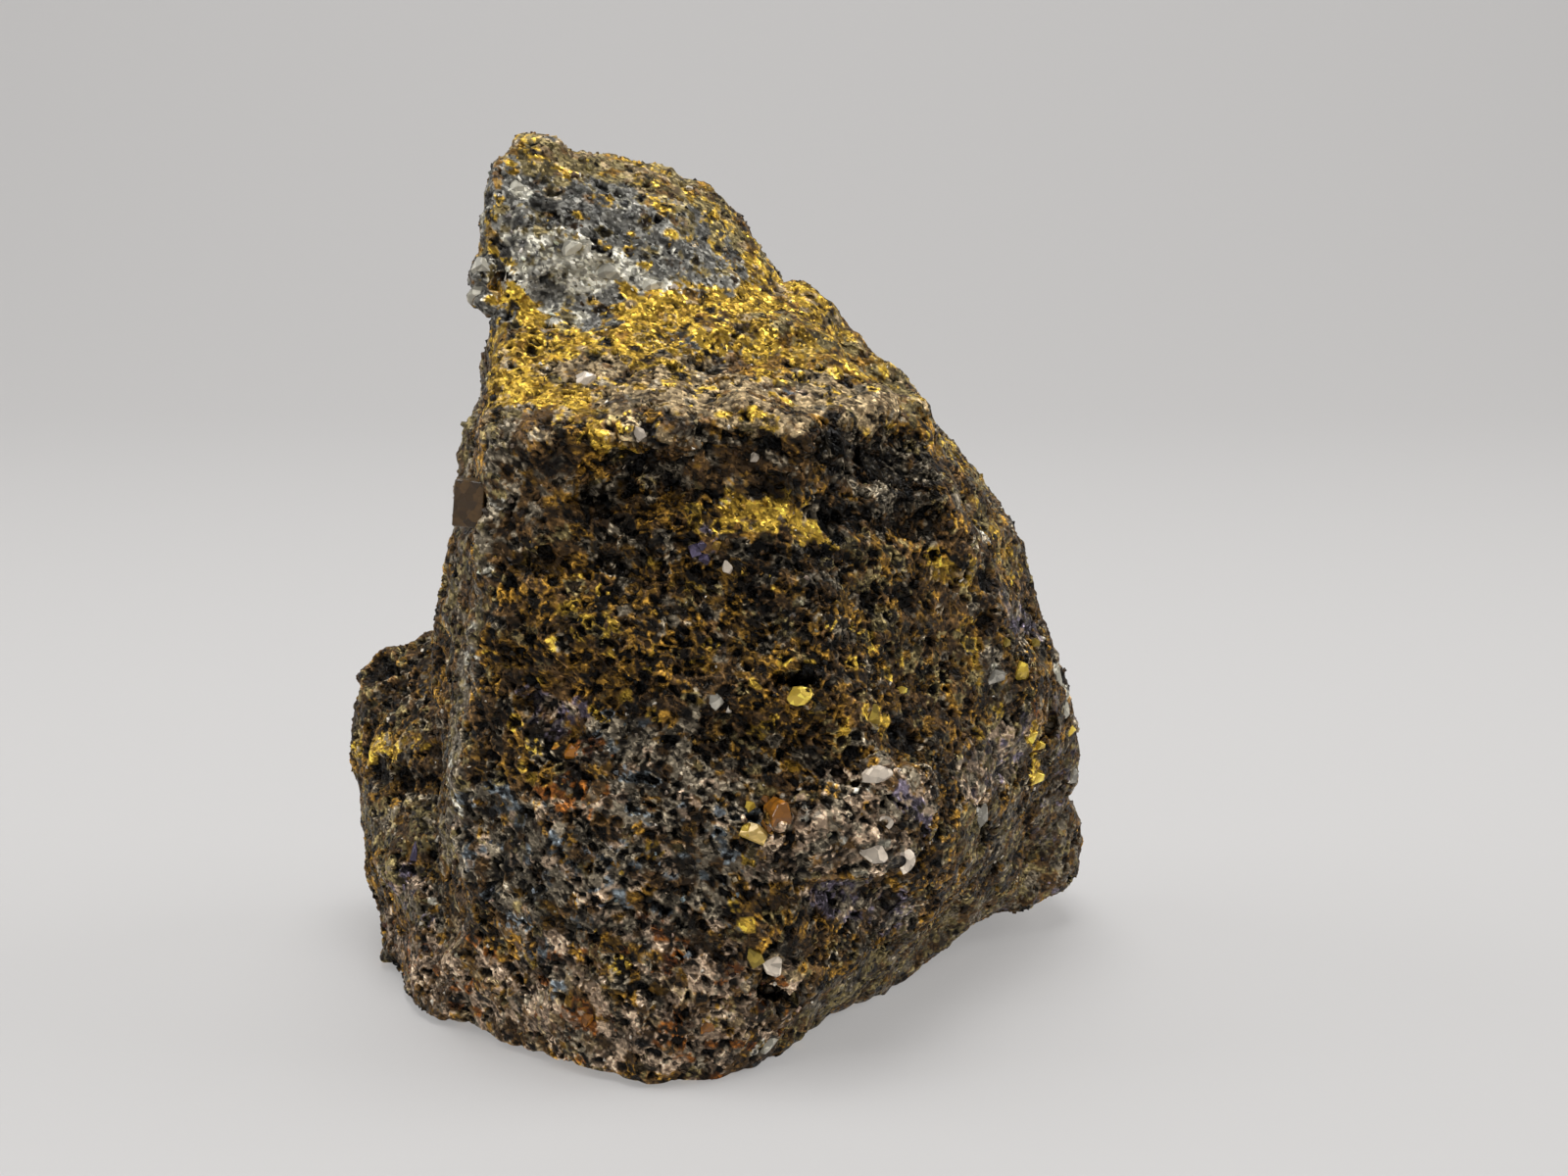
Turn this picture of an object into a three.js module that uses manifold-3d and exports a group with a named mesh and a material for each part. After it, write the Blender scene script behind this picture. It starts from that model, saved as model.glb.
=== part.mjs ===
// Cobaltite ore specimen: one upright chunk of sugary, fine-grained ore that stands on its own broken base.
// Millimetres, +Z up. -Y is the front. The origin is on the ground, under the middle of the stone.

import * as THREE from "three";
import { ConvexHull } from "three/addons/math/ConvexHull.js";
import { ImprovedNoise } from "three/addons/math/ImprovedNoise.js";
import { mergeVertices } from "three/addons/utils/BufferGeometryUtils.js";
import Module from "manifold-3d";

// Driving heights
const peakTop = 46.8; // the highest corner, at the upper left
const capFoot = 38.4; // where the grey cap rises from the gold shelf
const ledge = 32.4; // the sharp front edge under the shelf
const lobeTop = 19; // the lower block on the left
const backStep = 21; // the step across the back
const belowGround = -4; // the blocks run past the ground, and the base is then cut flat

// Driving widths and depths
const tipFront = -15.2; // the foremost point of the base
const lobeLeft = -22.2; // the leftmost point
const flankRight = 20.9; // the rightmost point of the main block
const backFace = 14.9; // the broken back

// The surface
const spacing = 1.22; // between the corners of the net
const roundsOfFitting = 3; // times that each corner of the net is moved onto the surface
const probe = 0.05; // how far apart the field is sampled for its slope
const justInside = 0.05; // the depth given to a filled corner of the lattice
const leastSlope = 0.5; // flatter slopes of the field count as this one when the net is fitted
const sameCorner = 1e-5; // corners closer than this are one corner
const blendWidth = 0.5; // how softly one block runs into the next
const groundSize = [80, 80, 20]; // the ground that cuts the base flat
const swells = [
  { across: 8, rise: 0.5, seed: 3.1 },
  { across: 3.6, rise: 0.42, seed: 11.7 },
  { across: 2, rise: 0.26, seed: 27.3 },
];

// Shallow shell-shaped chips, broken off all over the rock
const chipCount = 80;
const chipSeed = 20;
const chipRadius = [14, 40];
const chipDepth = [0.2, 0.7];
const chipTilt = 0.22;
const chipFade = 1.6; // how fast a chip runs out past its own rim
const deepestChip = 0.75; // no chip goes deeper than this below the unbroken surface
const heart = new THREE.Vector3(-2, 0, 19); // the middle of the rock, from which the chips are spread
const heartReach = 60;

// Each block is a broken, flat-faced chunk, given by its corners: x, y, z.
const blocks = {
  mainBody: [
    // foot of the front, from the left ridge round the tip to the lower right slope
    [-15, -7.4, 0], [-9.5, -10.6, belowGround], [-6.4, -12.8, 0], [-2.9, tipFront, 0.4],
    [-3, tipFront, belowGround], [1.7, -13.4, 0], [2.8, -11.3, 0], [5.3, -8.9, 1.6], [10.2, -5.4, 3.2],
    [14.2, -1, 3.8],
    // front face, bottom to top
    [-9.5, -12.8, 6], [-1.5, -14.8, 6], [4.7, -13.4, 7.5], [-7.8, -13.5, 15], [6.1, -13.2, 15.5],
    [11.3, -9.4, 11], [-7.8, -12.4, 25], [-1.1, -12.8, 25], [6.1, -11.2, 25], [11.2, -6.4, 28.6],
    [14.4, -5, 23], [17, -3, 17],
    // left ridge
    [-11.2, -9, ledge], [-11.4, -10.1, 29], [-11.2, -10.8, 26.6], [-11.9, -11.2, 20], [-13.2, -11, 11.3],
    // ledge and the shelf above it
    [-6.1, -11.6, ledge], [-4.3, -12.3, ledge - 0.3], [3.7, -11.6, ledge], [6.5, -10.1, ledge],
    [11, -5.1, ledge], [-11.8, -4.2, capFoot - 0.6], [-4.3, -4.4, capFoot], [3.4, 0.2, capFoot + 0.7],
    // right flank, top to bottom
    [5.2, 1.7, 38.9], [9.4, 1.7, 35.2], [13.9, 1.8, 30.3], [15.9, 2.7, 27.5], [17.5, 3.7, 24],
    [19.2, 3.9, 19.6], [flankRight, 4.7, 14.5], [flankRight, 4.9, 9.6], [18.4, 5.6, 2],
    // left limb
    [-12.6, -2.4, 36.4], [-13.7, -2.4, 32], [-14.9, -2.4, 28], [-15.8, -2.4, 22], [-16.4, -2.4, 12],
    [-12.3, 3, 36.5], [-14.4, 4, 29], [-15.6, 5, 22], [-16, 6, belowGround],
    // back, above and below its step
    [-10, 8, 35], [-12.4, 9.4, 27], [4.5, 9.6, 34], [2, 12, 27], [11, 10.4, 25], [-12.6, 10.6, 12],
    [-12, 10.5, belowGround], [2, 12, belowGround], [16, 11, 16], [17, 11, 6], [14, 9.5, belowGround],
  ],
  cap: [
    // flat face, and the bevel above it
    [-12.2, -4.4, 37.2], [-4.4, -5, capFoot - 0.6], [1.6, -2.9, capFoot - 0.4], [-11.9, -2.6, 44.4],
    [-8, -1.8, 44.8], [-3.4, -0.9, 43.7], [-0.2, 0, 42], [2.1, 0.2, 40],
    [-11.4, -1.4, 45.6], [-10.9, -0.2, peakTop], [-7.2, 0.8, peakTop - 0.3], [-4, 1.5, 45.3],
    [-0.9, 2.3, 44], [1.5, 2.4, 41.5], [3.6, 0.8, 39.6],
    // back of the cap
    [-11, 4.6, 43.4], [-5.5, 6, 43], [0.2, 6.4, 40.8], [3.6, 6, 38], [-12, 6.4, 34], [4, 8.6, 32],
    [-4, 9.2, 33], [-9, 0, 30], [2, 0, 30],
  ],
  leftLobe: [
    // front and top
    [-16, -2.6, 12.6], [-16.4, -6.2, 6], [-15.6, -7.8, 0], [-19.4, -2, 0], [-19.6, -1.2, belowGround],
    [-15.6, -7.8, belowGround], [-20.9, 2.8, 1.4], [-21.4, 2.6, 6], [lobeLeft, 5, 11.2], [-21.8, 5.8, 15.9],
    [-20.2, 6.4, 17], [-17.2, 6.6, lobeTop], [-14, 3, lobeTop],
    // back
    [-20.8, 9.2, 13], [-19.4, 11, 5], [-18, 11.2, belowGround], [-16.6, 11.4, 17.4], [-12, 13, 18.4],
    [-9, 14, 6], [-9, 13, belowGround], [-10, 0, 8], [-10, 0, belowGround],
  ],
  backFoot: [
    // lower half of the back, standing out under the step
    [-11.6, 11.4, backStep - 2], [-4, 13.8, backStep], [4, 14, backStep + 1.4], [11.6, 12.4, backStep - 3],
    [14.6, 12, 9], [13, 11.4, belowGround], [5, backFace, 8], [-3, backFace - 0.4, 9],
    [-2, backFace - 0.2, 2], [-1, 13.6, belowGround], [-11.4, 12.8, 8], [-11, 11.8, belowGround],
    [-8, 0, 18], [8, 0, 18], [0, 0, 2], [7, 10.6, backStep + 4], [-7, 10, backStep + 2.6],
  ],
  rightBlock: [
    // dark block low on the right, set back from the slope
    [16, 3.2, 0.7], [18.4, 4.6, 0.7], [21.2, 6.6, 1.5], [22, 7.6, 4.6], [21.7, 7, 7.2], [20.4, 5.4, 8.8],
    [18, 3.8, 7.6], [20, 12, 7], [19.6, 12.4, 2], [15, 11.8, 0.2], [12, 4, 3], [14, 8, 11],
  ],
};

// Chunks that lie on the rock and have kept their own faces.
const laidOn = {
  crustSlab: [
    // pale crust on the lower front
    [3, -13.7, 12.4], [5.6, -13.9, 15.3], [8.4, -13.2, 16.4], [11.4, -11.5, 15.6], [12, -10.6, 12.4],
    [9.8, -12.2, 10], [5.2, -13.7, 9.8], [6, -8, 15], [10, -6, 14], [7, -8, 10],
  ],
  peakRim: [
    // gold-stained crown on the upper left
    [-10.9, -2.4, 45.2], [-10.3, -0.7, peakTop + 0.1], [-8.4, -0.8, peakTop], [-7.8, -2.1, 45.1],
    [-9.6, 3, 45.2], [-5, 2.4, 45.4], [-10.6, 2, 41], [-6, 0, 41],
  ],
  footRidge: [
    // low rib that runs down the front to the tip of the base
    [-6.5, -13.9, 8.6], [-1.6, -15.4, 7.6], [1.6, -14.7, 4], [-2.8, -15.4, 2.4], [-6.8, -14, 3.4],
    [-2, -8, 8], [-2, -8, 1],
  ],
  cheek: [
    // grey-green shoulder beside the ledge
    [8.8, -8.5, 30], [12, -5.4, 29.4], [13.9, -5, 25], [11, -7.2, 19], [7.6, -9.9, 25], [10, -5, 31.4],
    [13, 0, 29], [14, 0, 22], [5, -2, 28],
  ],
};

// Hollows sunk into the surface: middle, reach, depth.
const hollows = {
  underLedgeLeft: { at: [-4.6, -12.2, 30], reach: 3, depth: 1.5 },
  underLedgeMiddle: { at: [1.2, -12, 30], reach: 3.4, depth: 1.7 },
  underLedgeRight: { at: [7, -10.2, 29.8], reach: 2.8, depth: 1.4 },
  darkPocket: { at: [-5.6, -12.6, 26], reach: 3, depth: 1 },
  sidePocket: { at: [6.6, -11, 27], reach: 2.6, depth: 0.9 },
  purplePocket: { at: [-7.6, -13.2, 18.6], reach: 2.8, depth: 1.1 },
  aboveCrust: { at: [6.6, -13.2, 17.4], reach: 2, depth: 0.8 },
  lobeValley: { at: [-16.4, -3.4, 15], reach: 4.4, depth: 1 },
  shelfDip: { at: [-1.6, -7.4, 35.6], reach: 4.5, depth: 0.8 },
  footDip: { at: [-10, -12.2, 4.6], reach: 3, depth: 0.7 },
  backScoop: { at: [6, 14, 17], reach: 6, depth: 1.4 },
  backCorner: { at: [-12.5, 10, 30], reach: 5, depth: 1.2 },
  flankScoop: { at: [18.8, 5, 20], reach: 4, depth: 0.9 },
  underSlope: { at: [9.5, -7.2, 2.2], reach: 3.4, depth: 0.6 },
};

// Deep pits cut into the rock: middle, half sizes along x, y, z, turn about the line of sight in degrees.
const pits = {
  slotPit: { at: [2.9, -14, 4.4], size: [0.9, 1.5, 0.6], turn: 20 },
  crescentPit: { at: [4.4, -13.2, 20.5], size: [0.9, 1.2, 0.45], turn: -10 },
  rustyHole: { at: [18.4, 0, 14.4], size: [0.8, 1.4, 1], turn: 0 },
  crustHole: { at: [6.8, -14, 16.3], size: [0.6, 1.2, 0.45], turn: 15 },
  slopeHole: { at: [14.6, -4.6, 8.6], size: [0.7, 1.2, 0.9], turn: -20 },
};

// Crystals that stand out of the rock: middle, size along x, y, z, turns about x, y, z in degrees.
const crystals = {
  brownCube: { shape: "box", at: [-12.1, -7.6, 28.2], size: [2, 2.6, 2.3], turn: [4, -6, 32] },
  goldGrainFront: { shape: "octahedron", at: [4.5, -13.1, 19.5], size: [0.8, 0.8, 0.8], turn: [20, 15, 30] },
  goldGrainRight: { shape: "octahedron", at: [16.8, -2.6, 18.2], size: [0.8, 0.8, 0.8], turn: [10, 30, 5] },
  orangeCrystal: { shape: "octahedron", at: [3.2, -14, 13.9], size: [0.9, 0.9, 0.9], turn: [35, 5, 15] },
  goldFlake: { shape: "box", at: [2.1, -13.6, 12.9], size: [1.4, 0.9, 0.8], turn: [20, 10, 10] },
  creamFlake: { shape: "box", at: [8.1, -12.9, 16.2], size: [1.4, 0.9, 0.8], turn: [25, -10, 20] },
  quartzLump: { shape: "dodecahedron", at: [-12, -3, 39.6], size: [0.95, 1.4, 1.4], turn: [10, 20, 0] },
  quartzKnob: { shape: "dodecahedron", at: [-11.9, -3.4, 38.3], size: [0.8, 1, 0.9], turn: [40, 0, 25] },
};

const rockColour = "#5b513d";
const rockRoughness = 0.85;
const rockMetalness = 0.1;

const toVector = ([x, y, z]) => new THREE.Vector3(x, y, z);
const turnOf = (degrees) => new THREE.Euler(...degrees.map((angle) => THREE.MathUtils.degToRad(angle)));
const hullOf = (corners) => new ConvexHull().setFromPoints(corners.map(toVector));
const noise = new ImprovedNoise();

// A small repeatable source of numbers from 0 to 1.
const largestState = 2 ** 31 - 1;
const stateFactor = 16807;
function randomSource(seed) {
  let state = seed;
  return () => {
    state = (state * stateFactor) % largestState;
    return state / largestState;
  };
}

function smoothMin(a, b) {
  const overlap = Math.max(blendWidth - Math.abs(a - b), 0) / blendWidth;
  return Math.min(a, b) - (overlap * overlap * blendWidth) / 4;
}

// How far a point is outside a convex block, less than 0 inside.
function outsideHull(hull, point) {
  return Math.max(...hull.faces.map((face) => face.distanceToPoint(point)));
}

function swellAt(point) {
  let rise = 0;
  for (const { across, rise: height, seed } of swells) {
    rise += height * noise.noise(point.x / across + seed, point.y / across + seed, point.z / across + seed);
  }
  return rise;
}

function hollowAt(point) {
  let depth = 0;
  for (const hollow of hollowList) {
    const near = Math.max(1 - point.distanceTo(hollow.middle) / hollow.reach, 0);
    depth += hollow.depth * near * near * (3 - 2 * near);
  }
  return depth;
}

const blockHulls = Object.values(blocks).map(hullOf);
const laidOnHulls = Object.values(laidOn).map(hullOf);
const hollowList = Object.values(hollows).map((hollow) => ({ ...hollow, middle: toVector(hollow.at) }));

// The blocks grown together, before anything is broken off them.
function unbroken(point) {
  return blockHulls.map((hull) => outsideHull(hull, point)).reduce(smoothMin) - swellAt(point);
}

function slopeOf(field, point) {
  const slope = new THREE.Vector3();
  for (const axis of ["x", "y", "z"]) {
    const ahead = point.clone();
    const behind = point.clone();
    ahead[axis] += probe;
    behind[axis] -= probe;
    slope[axis] = (field(ahead) - field(behind)) / (2 * probe);
  }
  return slope;
}

// Where a line from the heart comes out of the rock.
function surfacePoint(direction) {
  let inside = 0;
  let outside = heartReach;
  while (outside - inside > probe) {
    const half = (inside + outside) / 2;
    if (unbroken(heart.clone().addScaledVector(direction, half)) < 0) {
      inside = half;
    } else {
      outside = half;
    }
  }
  return heart.clone().addScaledVector(direction, inside);
}

// Each chip is a large ball that dips a little way into the rock.
function makeChips() {
  const random = randomSource(chipSeed);
  const between = ([low, high]) => low + (high - low) * random();
  const signed = () => 2 * random() - 1;
  return Array.from({ length: chipCount }, () => {
    const contact = surfacePoint(new THREE.Vector3(signed(), signed(), signed()).normalize());
    const tilt = new THREE.Vector3(signed(), signed(), signed()).multiplyScalar(chipTilt);
    const outward = slopeOf(unbroken, contact).normalize().add(tilt).normalize();
    const radius = between(chipRadius);
    const depth = between(chipDepth);
    const middle = contact.clone().addScaledVector(outward, radius - depth);
    return { radius, contact, middle, rim: Math.sqrt(2 * radius * depth) };
  });
}

const chips = makeChips();

// The rock as a field: less than 0 inside it, more than 0 outside.
function rockField(point) {
  const whole = unbroken(point);
  let value = whole;
  for (const chip of chips) {
    const past = Math.max(point.distanceTo(chip.contact) - chip.rim, 0);
    const cut = chip.radius - point.distanceTo(chip.middle) - chipFade * past;
    value = Math.max(value, Math.min(cut, whole + deepestChip));
  }
  for (const hull of laidOnHulls) {
    value = smoothMin(value, outsideHull(hull, point) - swellAt(point) / 2);
  }
  return value + hollowAt(point);
}

// A lattice of field values with a margin of one cell round the blocks.
function sampleLattice(field) {
  const box = new THREE.Box3().setFromPoints(Object.values(blocks).flat().map(toVector));
  box.expandByScalar(2 * spacing);
  const counts = box.getSize(new THREE.Vector3()).divideScalar(spacing).ceil().addScalar(1);
  const pointAt = (i, j, k) => box.min.clone().add(new THREE.Vector3(i, j, k).multiplyScalar(spacing));
  const indexAt = (i, j, k) => i + counts.x * (j + counts.y * k);
  const values = new Float64Array(counts.x * counts.y * counts.z);
  for (let k = 0; k < counts.z; k += 1) {
    for (let j = 0; j < counts.y; j += 1) {
      for (let i = 0; i < counts.x; i += 1) {
        values[indexAt(i, j, k)] = field(pointAt(i, j, k));
      }
    }
  }
  const valueAt = (i, j, k) => values[indexAt(i, j, k)];
  const fillAt = (i, j, k) => {
    values[indexAt(i, j, k)] = -justInside;
  };
  return { counts, pointAt, valueAt, fillAt, indexAt };
}

// The corners of a cell are numbered 0 to 7, with one bit of the number for each axis.
const cellCorners = [0, 1, 2, 3, 4, 5, 6, 7].map((n) => [n & 1, (n >> 1) & 1, (n >> 2) & 1]);
const cellEdges = cellCorners.flatMap((from, a) =>
  [0, 1, 2].filter((axis) => from[axis] === 0).map((axis) => [a, a + (1 << axis)]),
);
const cellSquares = [[0, 1, 3, 2], [4, 5, 7, 6], [0, 1, 5, 4], [2, 3, 7, 6], [0, 2, 6, 4], [1, 3, 7, 5]];
const farthestCorner = 7;

// The corner to fill where two parts of the rock touch at one edge or point of a cell, else -1.
function pinchedCorner(inside) {
  for (const [a, b, c, d] of cellSquares) {
    if (inside[a] === inside[c] && inside[b] === inside[d] && inside[a] !== inside[b]) {
      return inside[a] ? b : a;
    }
  }
  const few = [true, false].find((side) => inside.filter((value) => value === side).length === 2);
  const first = few === undefined ? -1 : inside.indexOf(few);
  if (first >= 0 && inside[farthestCorner - first] === few) {
    return few ? first ^ 1 : first;
  }
  return -1;
}

function eachCell(counts, visit) {
  for (let k = 0; k < counts.z - 1; k += 1) {
    for (let j = 0; j < counts.y - 1; j += 1) {
      for (let i = 0; i < counts.x - 1; i += 1) {
        visit(i, j, k);
      }
    }
  }
}

// Fills corners of the lattice until just two faces meet at every edge of the rock.
function fillPinches({ counts, valueAt, fillAt }) {
  let filled = 1;
  while (filled > 0) {
    filled = 0;
    eachCell(counts, (i, j, k) => {
      const inside = cellCorners.map(([x, y, z]) => valueAt(i + x, j + y, k + z) < 0);
      const corner = pinchedCorner(inside);
      if (corner >= 0) {
        const [x, y, z] = cellCorners[corner];
        fillAt(i + x, j + y, k + z);
        filled += 1;
      }
    });
  }
}

// The mean of the places where the surface crosses the edges of a cell, or null where it crosses none.
function cellPoint({ pointAt, valueAt }, i, j, k) {
  const values = cellCorners.map(([x, y, z]) => valueAt(i + x, j + y, k + z));
  const crossings = cellEdges.filter(([a, b]) => values[a] < 0 !== values[b] < 0);
  if (crossings.length === 0) {
    return null;
  }
  const sum = new THREE.Vector3();
  for (const [a, b] of crossings) {
    const share = values[a] / (values[a] - values[b]);
    sum.add(new THREE.Vector3(...cellCorners[a]).lerp(new THREE.Vector3(...cellCorners[b]), share));
  }
  return sum.divideScalar(crossings.length).multiplyScalar(spacing).add(pointAt(i, j, k));
}

// Moves a corner of the net straight onto the surface, and never further than half a cell.
function fitted(field, start) {
  const point = start.clone();
  for (let round = 0; round < roundsOfFitting; round += 1) {
    const slope = slopeOf(field, point);
    point.addScaledVector(slope, -field(point) / Math.max(slope.lengthSq(), leastSlope ** 2));
  }
  return start.clone().add(point.sub(start).clampLength(0, spacing / 2));
}

// A closed net over the surface: a corner for each cell it crosses, two triangles for each lattice edge.
function surfaceNet(field) {
  const lattice = sampleLattice(field);
  fillPinches(lattice);
  const { counts, valueAt, indexAt } = lattice;
  const cornerOfCell = new Map();
  const positions = [];
  const triangles = [];
  eachCell(counts, (i, j, k) => {
    const point = cellPoint(lattice, i, j, k);
    if (point) {
      cornerOfCell.set(indexAt(i, j, k), positions.length);
      positions.push(fitted(field, point));
    }
  });
  const steps = [[1, 0, 0], [0, 1, 0], [0, 0, 1]];
  eachCell(counts, (i, j, k) => {
    const here = valueAt(i, j, k) < 0;
    steps.forEach((step, axis) => {
      const there = valueAt(i + step[0], j + step[1], k + step[2]) < 0;
      if (here !== there) {
        const u = steps[(axis + 1) % 3];
        const v = steps[(axis + 2) % 3];
        const cells = [[0, 0], [1, 0], [1, 1], [0, 1]].map(([a, b]) => {
          const cell = [i, j, k].map((at, n) => at - a * u[n] - b * v[n]);
          return cornerOfCell.get(indexAt(...cell));
        });
        triangles.push(...splitSquare(here ? cells : cells.reverse(), positions));
      }
    });
  });
  const geometry = new THREE.BufferGeometry().setFromPoints(positions);
  geometry.setIndex(triangles);
  return geometry;
}

// Two triangles that share the shorter diagonal.
function splitSquare([a, b, c, d], positions) {
  const short = positions[a].distanceTo(positions[c]) < positions[b].distanceTo(positions[d]);
  return short ? [a, b, c, a, c, d] : [a, b, d, b, c, d];
}

function solidOf(wasm, geometry) {
  const plain = geometry.clone();
  plain.deleteAttribute("normal");
  plain.deleteAttribute("uv");
  const merged = mergeVertices(plain, sameCorner);
  return new wasm.Manifold(
    new wasm.Mesh({
      numProp: 3,
      vertProperties: new Float32Array(merged.getAttribute("position").array),
      triVerts: new Uint32Array(merged.index.array),
    }),
  );
}

function geometryOf(solid) {
  const mesh = solid.getMesh();
  const geometry = new THREE.BufferGeometry();
  geometry.setAttribute("position", new THREE.BufferAttribute(mesh.vertProperties, mesh.numProp));
  geometry.setIndex(new THREE.BufferAttribute(mesh.triVerts, 1));
  geometry.computeVertexNormals();
  return geometry;
}

function placed(geometry, size, degrees, at) {
  const rotation = new THREE.Quaternion().setFromEuler(turnOf(degrees));
  return geometry.applyMatrix4(new THREE.Matrix4().compose(toVector(at), rotation, toVector(size)));
}

function crystalGeometry({ shape, at, size, turn }) {
  const shapes = {
    box: () => new THREE.BoxGeometry(1, 1, 1),
    octahedron: () => new THREE.OctahedronGeometry(1),
    dodecahedron: () => new THREE.DodecahedronGeometry(1),
  };
  return placed(shapes[shape](), size, turn, at);
}

function pitGeometry({ at, size, turn }) {
  return placed(new THREE.IcosahedronGeometry(1), size, [0, turn, 0], at);
}

function groundGeometry() {
  return placed(new THREE.BoxGeometry(1, 1, 1), groundSize, [0, 0, 0], [0, 0, -groundSize[2] / 2]);
}

async function specimenGeometry() {
  const wasm = await Module();
  wasm.setup();
  let rock = solidOf(wasm, surfaceNet(rockField));
  for (const crystal of Object.values(crystals)) {
    rock = rock.add(solidOf(wasm, crystalGeometry(crystal)));
  }
  for (const pit of Object.values(pits)) {
    rock = rock.subtract(solidOf(wasm, pitGeometry(pit)));
  }
  rock = rock.subtract(solidOf(wasm, groundGeometry()));
  const geometry = geometryOf(rock);
  geometry.computeBoundingBox();
  const middle = geometry.boundingBox.getCenter(new THREE.Vector3());
  return geometry.translate(-middle.x, -middle.y, 0);
}

const material = new THREE.MeshStandardMaterial({
  color: rockColour,
  roughness: rockRoughness,
  metalness: rockMetalness,
  flatShading: true,
});
const specimen = new THREE.Mesh(await specimenGeometry(), material);
specimen.name = "cobaltite_specimen";

const model = new THREE.Group();
model.add(specimen);

export default model;
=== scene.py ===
import math

import bpy
import numpy as np
from mathutils import Matrix, Vector, noise
from mathutils.bvhtree import BVHTree


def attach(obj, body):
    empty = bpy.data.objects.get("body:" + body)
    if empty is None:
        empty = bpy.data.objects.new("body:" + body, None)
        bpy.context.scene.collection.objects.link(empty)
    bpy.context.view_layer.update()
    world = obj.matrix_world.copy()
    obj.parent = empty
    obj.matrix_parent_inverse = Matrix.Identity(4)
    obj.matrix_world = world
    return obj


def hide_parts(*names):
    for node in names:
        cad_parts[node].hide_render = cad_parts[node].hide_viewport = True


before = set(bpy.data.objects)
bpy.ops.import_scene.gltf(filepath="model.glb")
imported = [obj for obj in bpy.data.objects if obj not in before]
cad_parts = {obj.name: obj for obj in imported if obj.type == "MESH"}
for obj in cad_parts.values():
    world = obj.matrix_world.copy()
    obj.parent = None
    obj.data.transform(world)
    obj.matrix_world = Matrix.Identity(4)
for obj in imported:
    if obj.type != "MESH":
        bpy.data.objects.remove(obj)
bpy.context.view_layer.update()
mm = 0.001
print("frame loaded")

# camera, where the picture was taken from
photoCamera = {
    "place": (3.7, -105.3, 45.0),  # mm
    "tipDown": 12.13,  # degrees below level
    "lens": 45.0,
    "sensor": 36.0,
    "frameWide": 1600,  # pixels
    "frameHigh": 1200,
    "nearest": 5.0,  # mm
    "farthest": 3000.0,
}


def addCamera(spec):
    place = Vector(spec["place"]) * mm
    tip = math.radians(90 - spec["tipDown"])
    bpy.ops.object.camera_add(location=place, rotation=(tip, 0, 0))
    camera = bpy.context.object
    camera.name = "photoCamera"
    camera.data.lens = spec["lens"]
    camera.data.sensor_width = spec["sensor"]
    camera.data.clip_start = spec["nearest"] * mm
    camera.data.clip_end = spec["farthest"] * mm
    bpy.context.scene.camera = camera


def sightLine(px, py):
    # direction in which the camera sees this pixel
    focal = photoCamera["lens"] / photoCamera["sensor"] * photoCamera["frameWide"]
    across = (px - photoCamera["frameWide"] / 2) / focal
    down = (py - photoCamera["frameHigh"] / 2) / focal
    tip = math.radians(photoCamera["tipDown"])
    ahead = math.cos(tip) - down * math.sin(tip)
    rise = -math.sin(tip) - down * math.cos(tip)
    return Vector((across, ahead, rise)).normalized()


addCamera(photoCamera)


def onlySelect(piece):
    bpy.ops.object.select_all(action="DESELECT")
    piece.select_set(True)
    bpy.context.view_layer.objects.active = piece


def applyModifier(piece, kind, **settings):
    onlySelect(piece)
    modifier = piece.modifiers.new(kind.lower(), kind)
    for key, value in settings.items():
        setattr(modifier, key, value)
    bpy.ops.object.modifier_apply(modifier=modifier.name)


def readPoints(mesh, kind="co"):
    flat = np.empty(len(mesh.vertices) * 3, np.float32)
    mesh.vertices.foreach_get(kind, flat)
    return flat.reshape(-1, 3).astype(float)


def writePoints(mesh, points):
    mesh.vertices.foreach_set("co", points.astype(np.float32).ravel())
    mesh.update()


# noise: how far apart the fields of two seeds lie, and the factor that brings it to about -1 to 1
seedStep = Vector((7.31, 3.17, 5.93))
noiseGain = 1.6


def noiseAt(points, across, seed):
    # soft clumps this far across, points in mm
    shift = seedStep * seed
    return np.array([noise.noise(Vector(p) / across + shift) for p in points]) * noiseGain


def warpedBy(points, spec):
    moves = np.stack([noiseAt(points, spec["warpAcross"], spec["seed"] + n) for n in range(3)], axis=1)
    return points + moves * spec["warpReach"]


# the ore's crystals lie stretched in one direction: degrees down to the right, and how many times longer
foliation = {"tip": 28.0, "stretch": 1.4}


def alongGrain(points):
    # squeezes space along the direction in which the crystals lie
    tip = math.radians(foliation["tip"])
    way = np.array([math.cos(tip), 0, -math.sin(tip)])
    return points - (points @ way)[:, None] * way * (1 - 1 / foliation["stretch"])


def smoothStep(low, high, values):
    share = np.clip((values - low) / (high - low), 0, 1)
    return share * share * (3 - 2 * share)


def linearColour(colour):
    # from screen values to light
    colour = np.asarray(colour, float)
    return np.where(colour <= 0.04045, colour / 12.92, ((colour + 0.055) / 1.055) ** 2.4)


# body of the ore: the solid, cut finer and given its lumps
bodyShape = {
    "cuts": (1, 3),  # cuts across each edge of the solid's faces, in two rounds
    "softening": (1, 2),  # smoothing after each round
    "lumps": {"kind": "CLOUDS", "across": 2.4, "height": 0.34},  # mm
    "chips": {"kind": "VORONOI", "across": 1.5, "height": -0.28},
}


def addRelief(piece, spec, name):
    texture = bpy.data.textures.new(name, spec["kind"])
    texture.noise_scale = spec["across"] * mm
    if spec["kind"] == "CLOUDS":
        texture.noise_depth = 2
    settings = {"texture": texture, "texture_coords": "LOCAL", "mid_level": 0.5}
    applyModifier(piece, "DISPLACE", strength=spec["height"] * mm, **settings)


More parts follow.
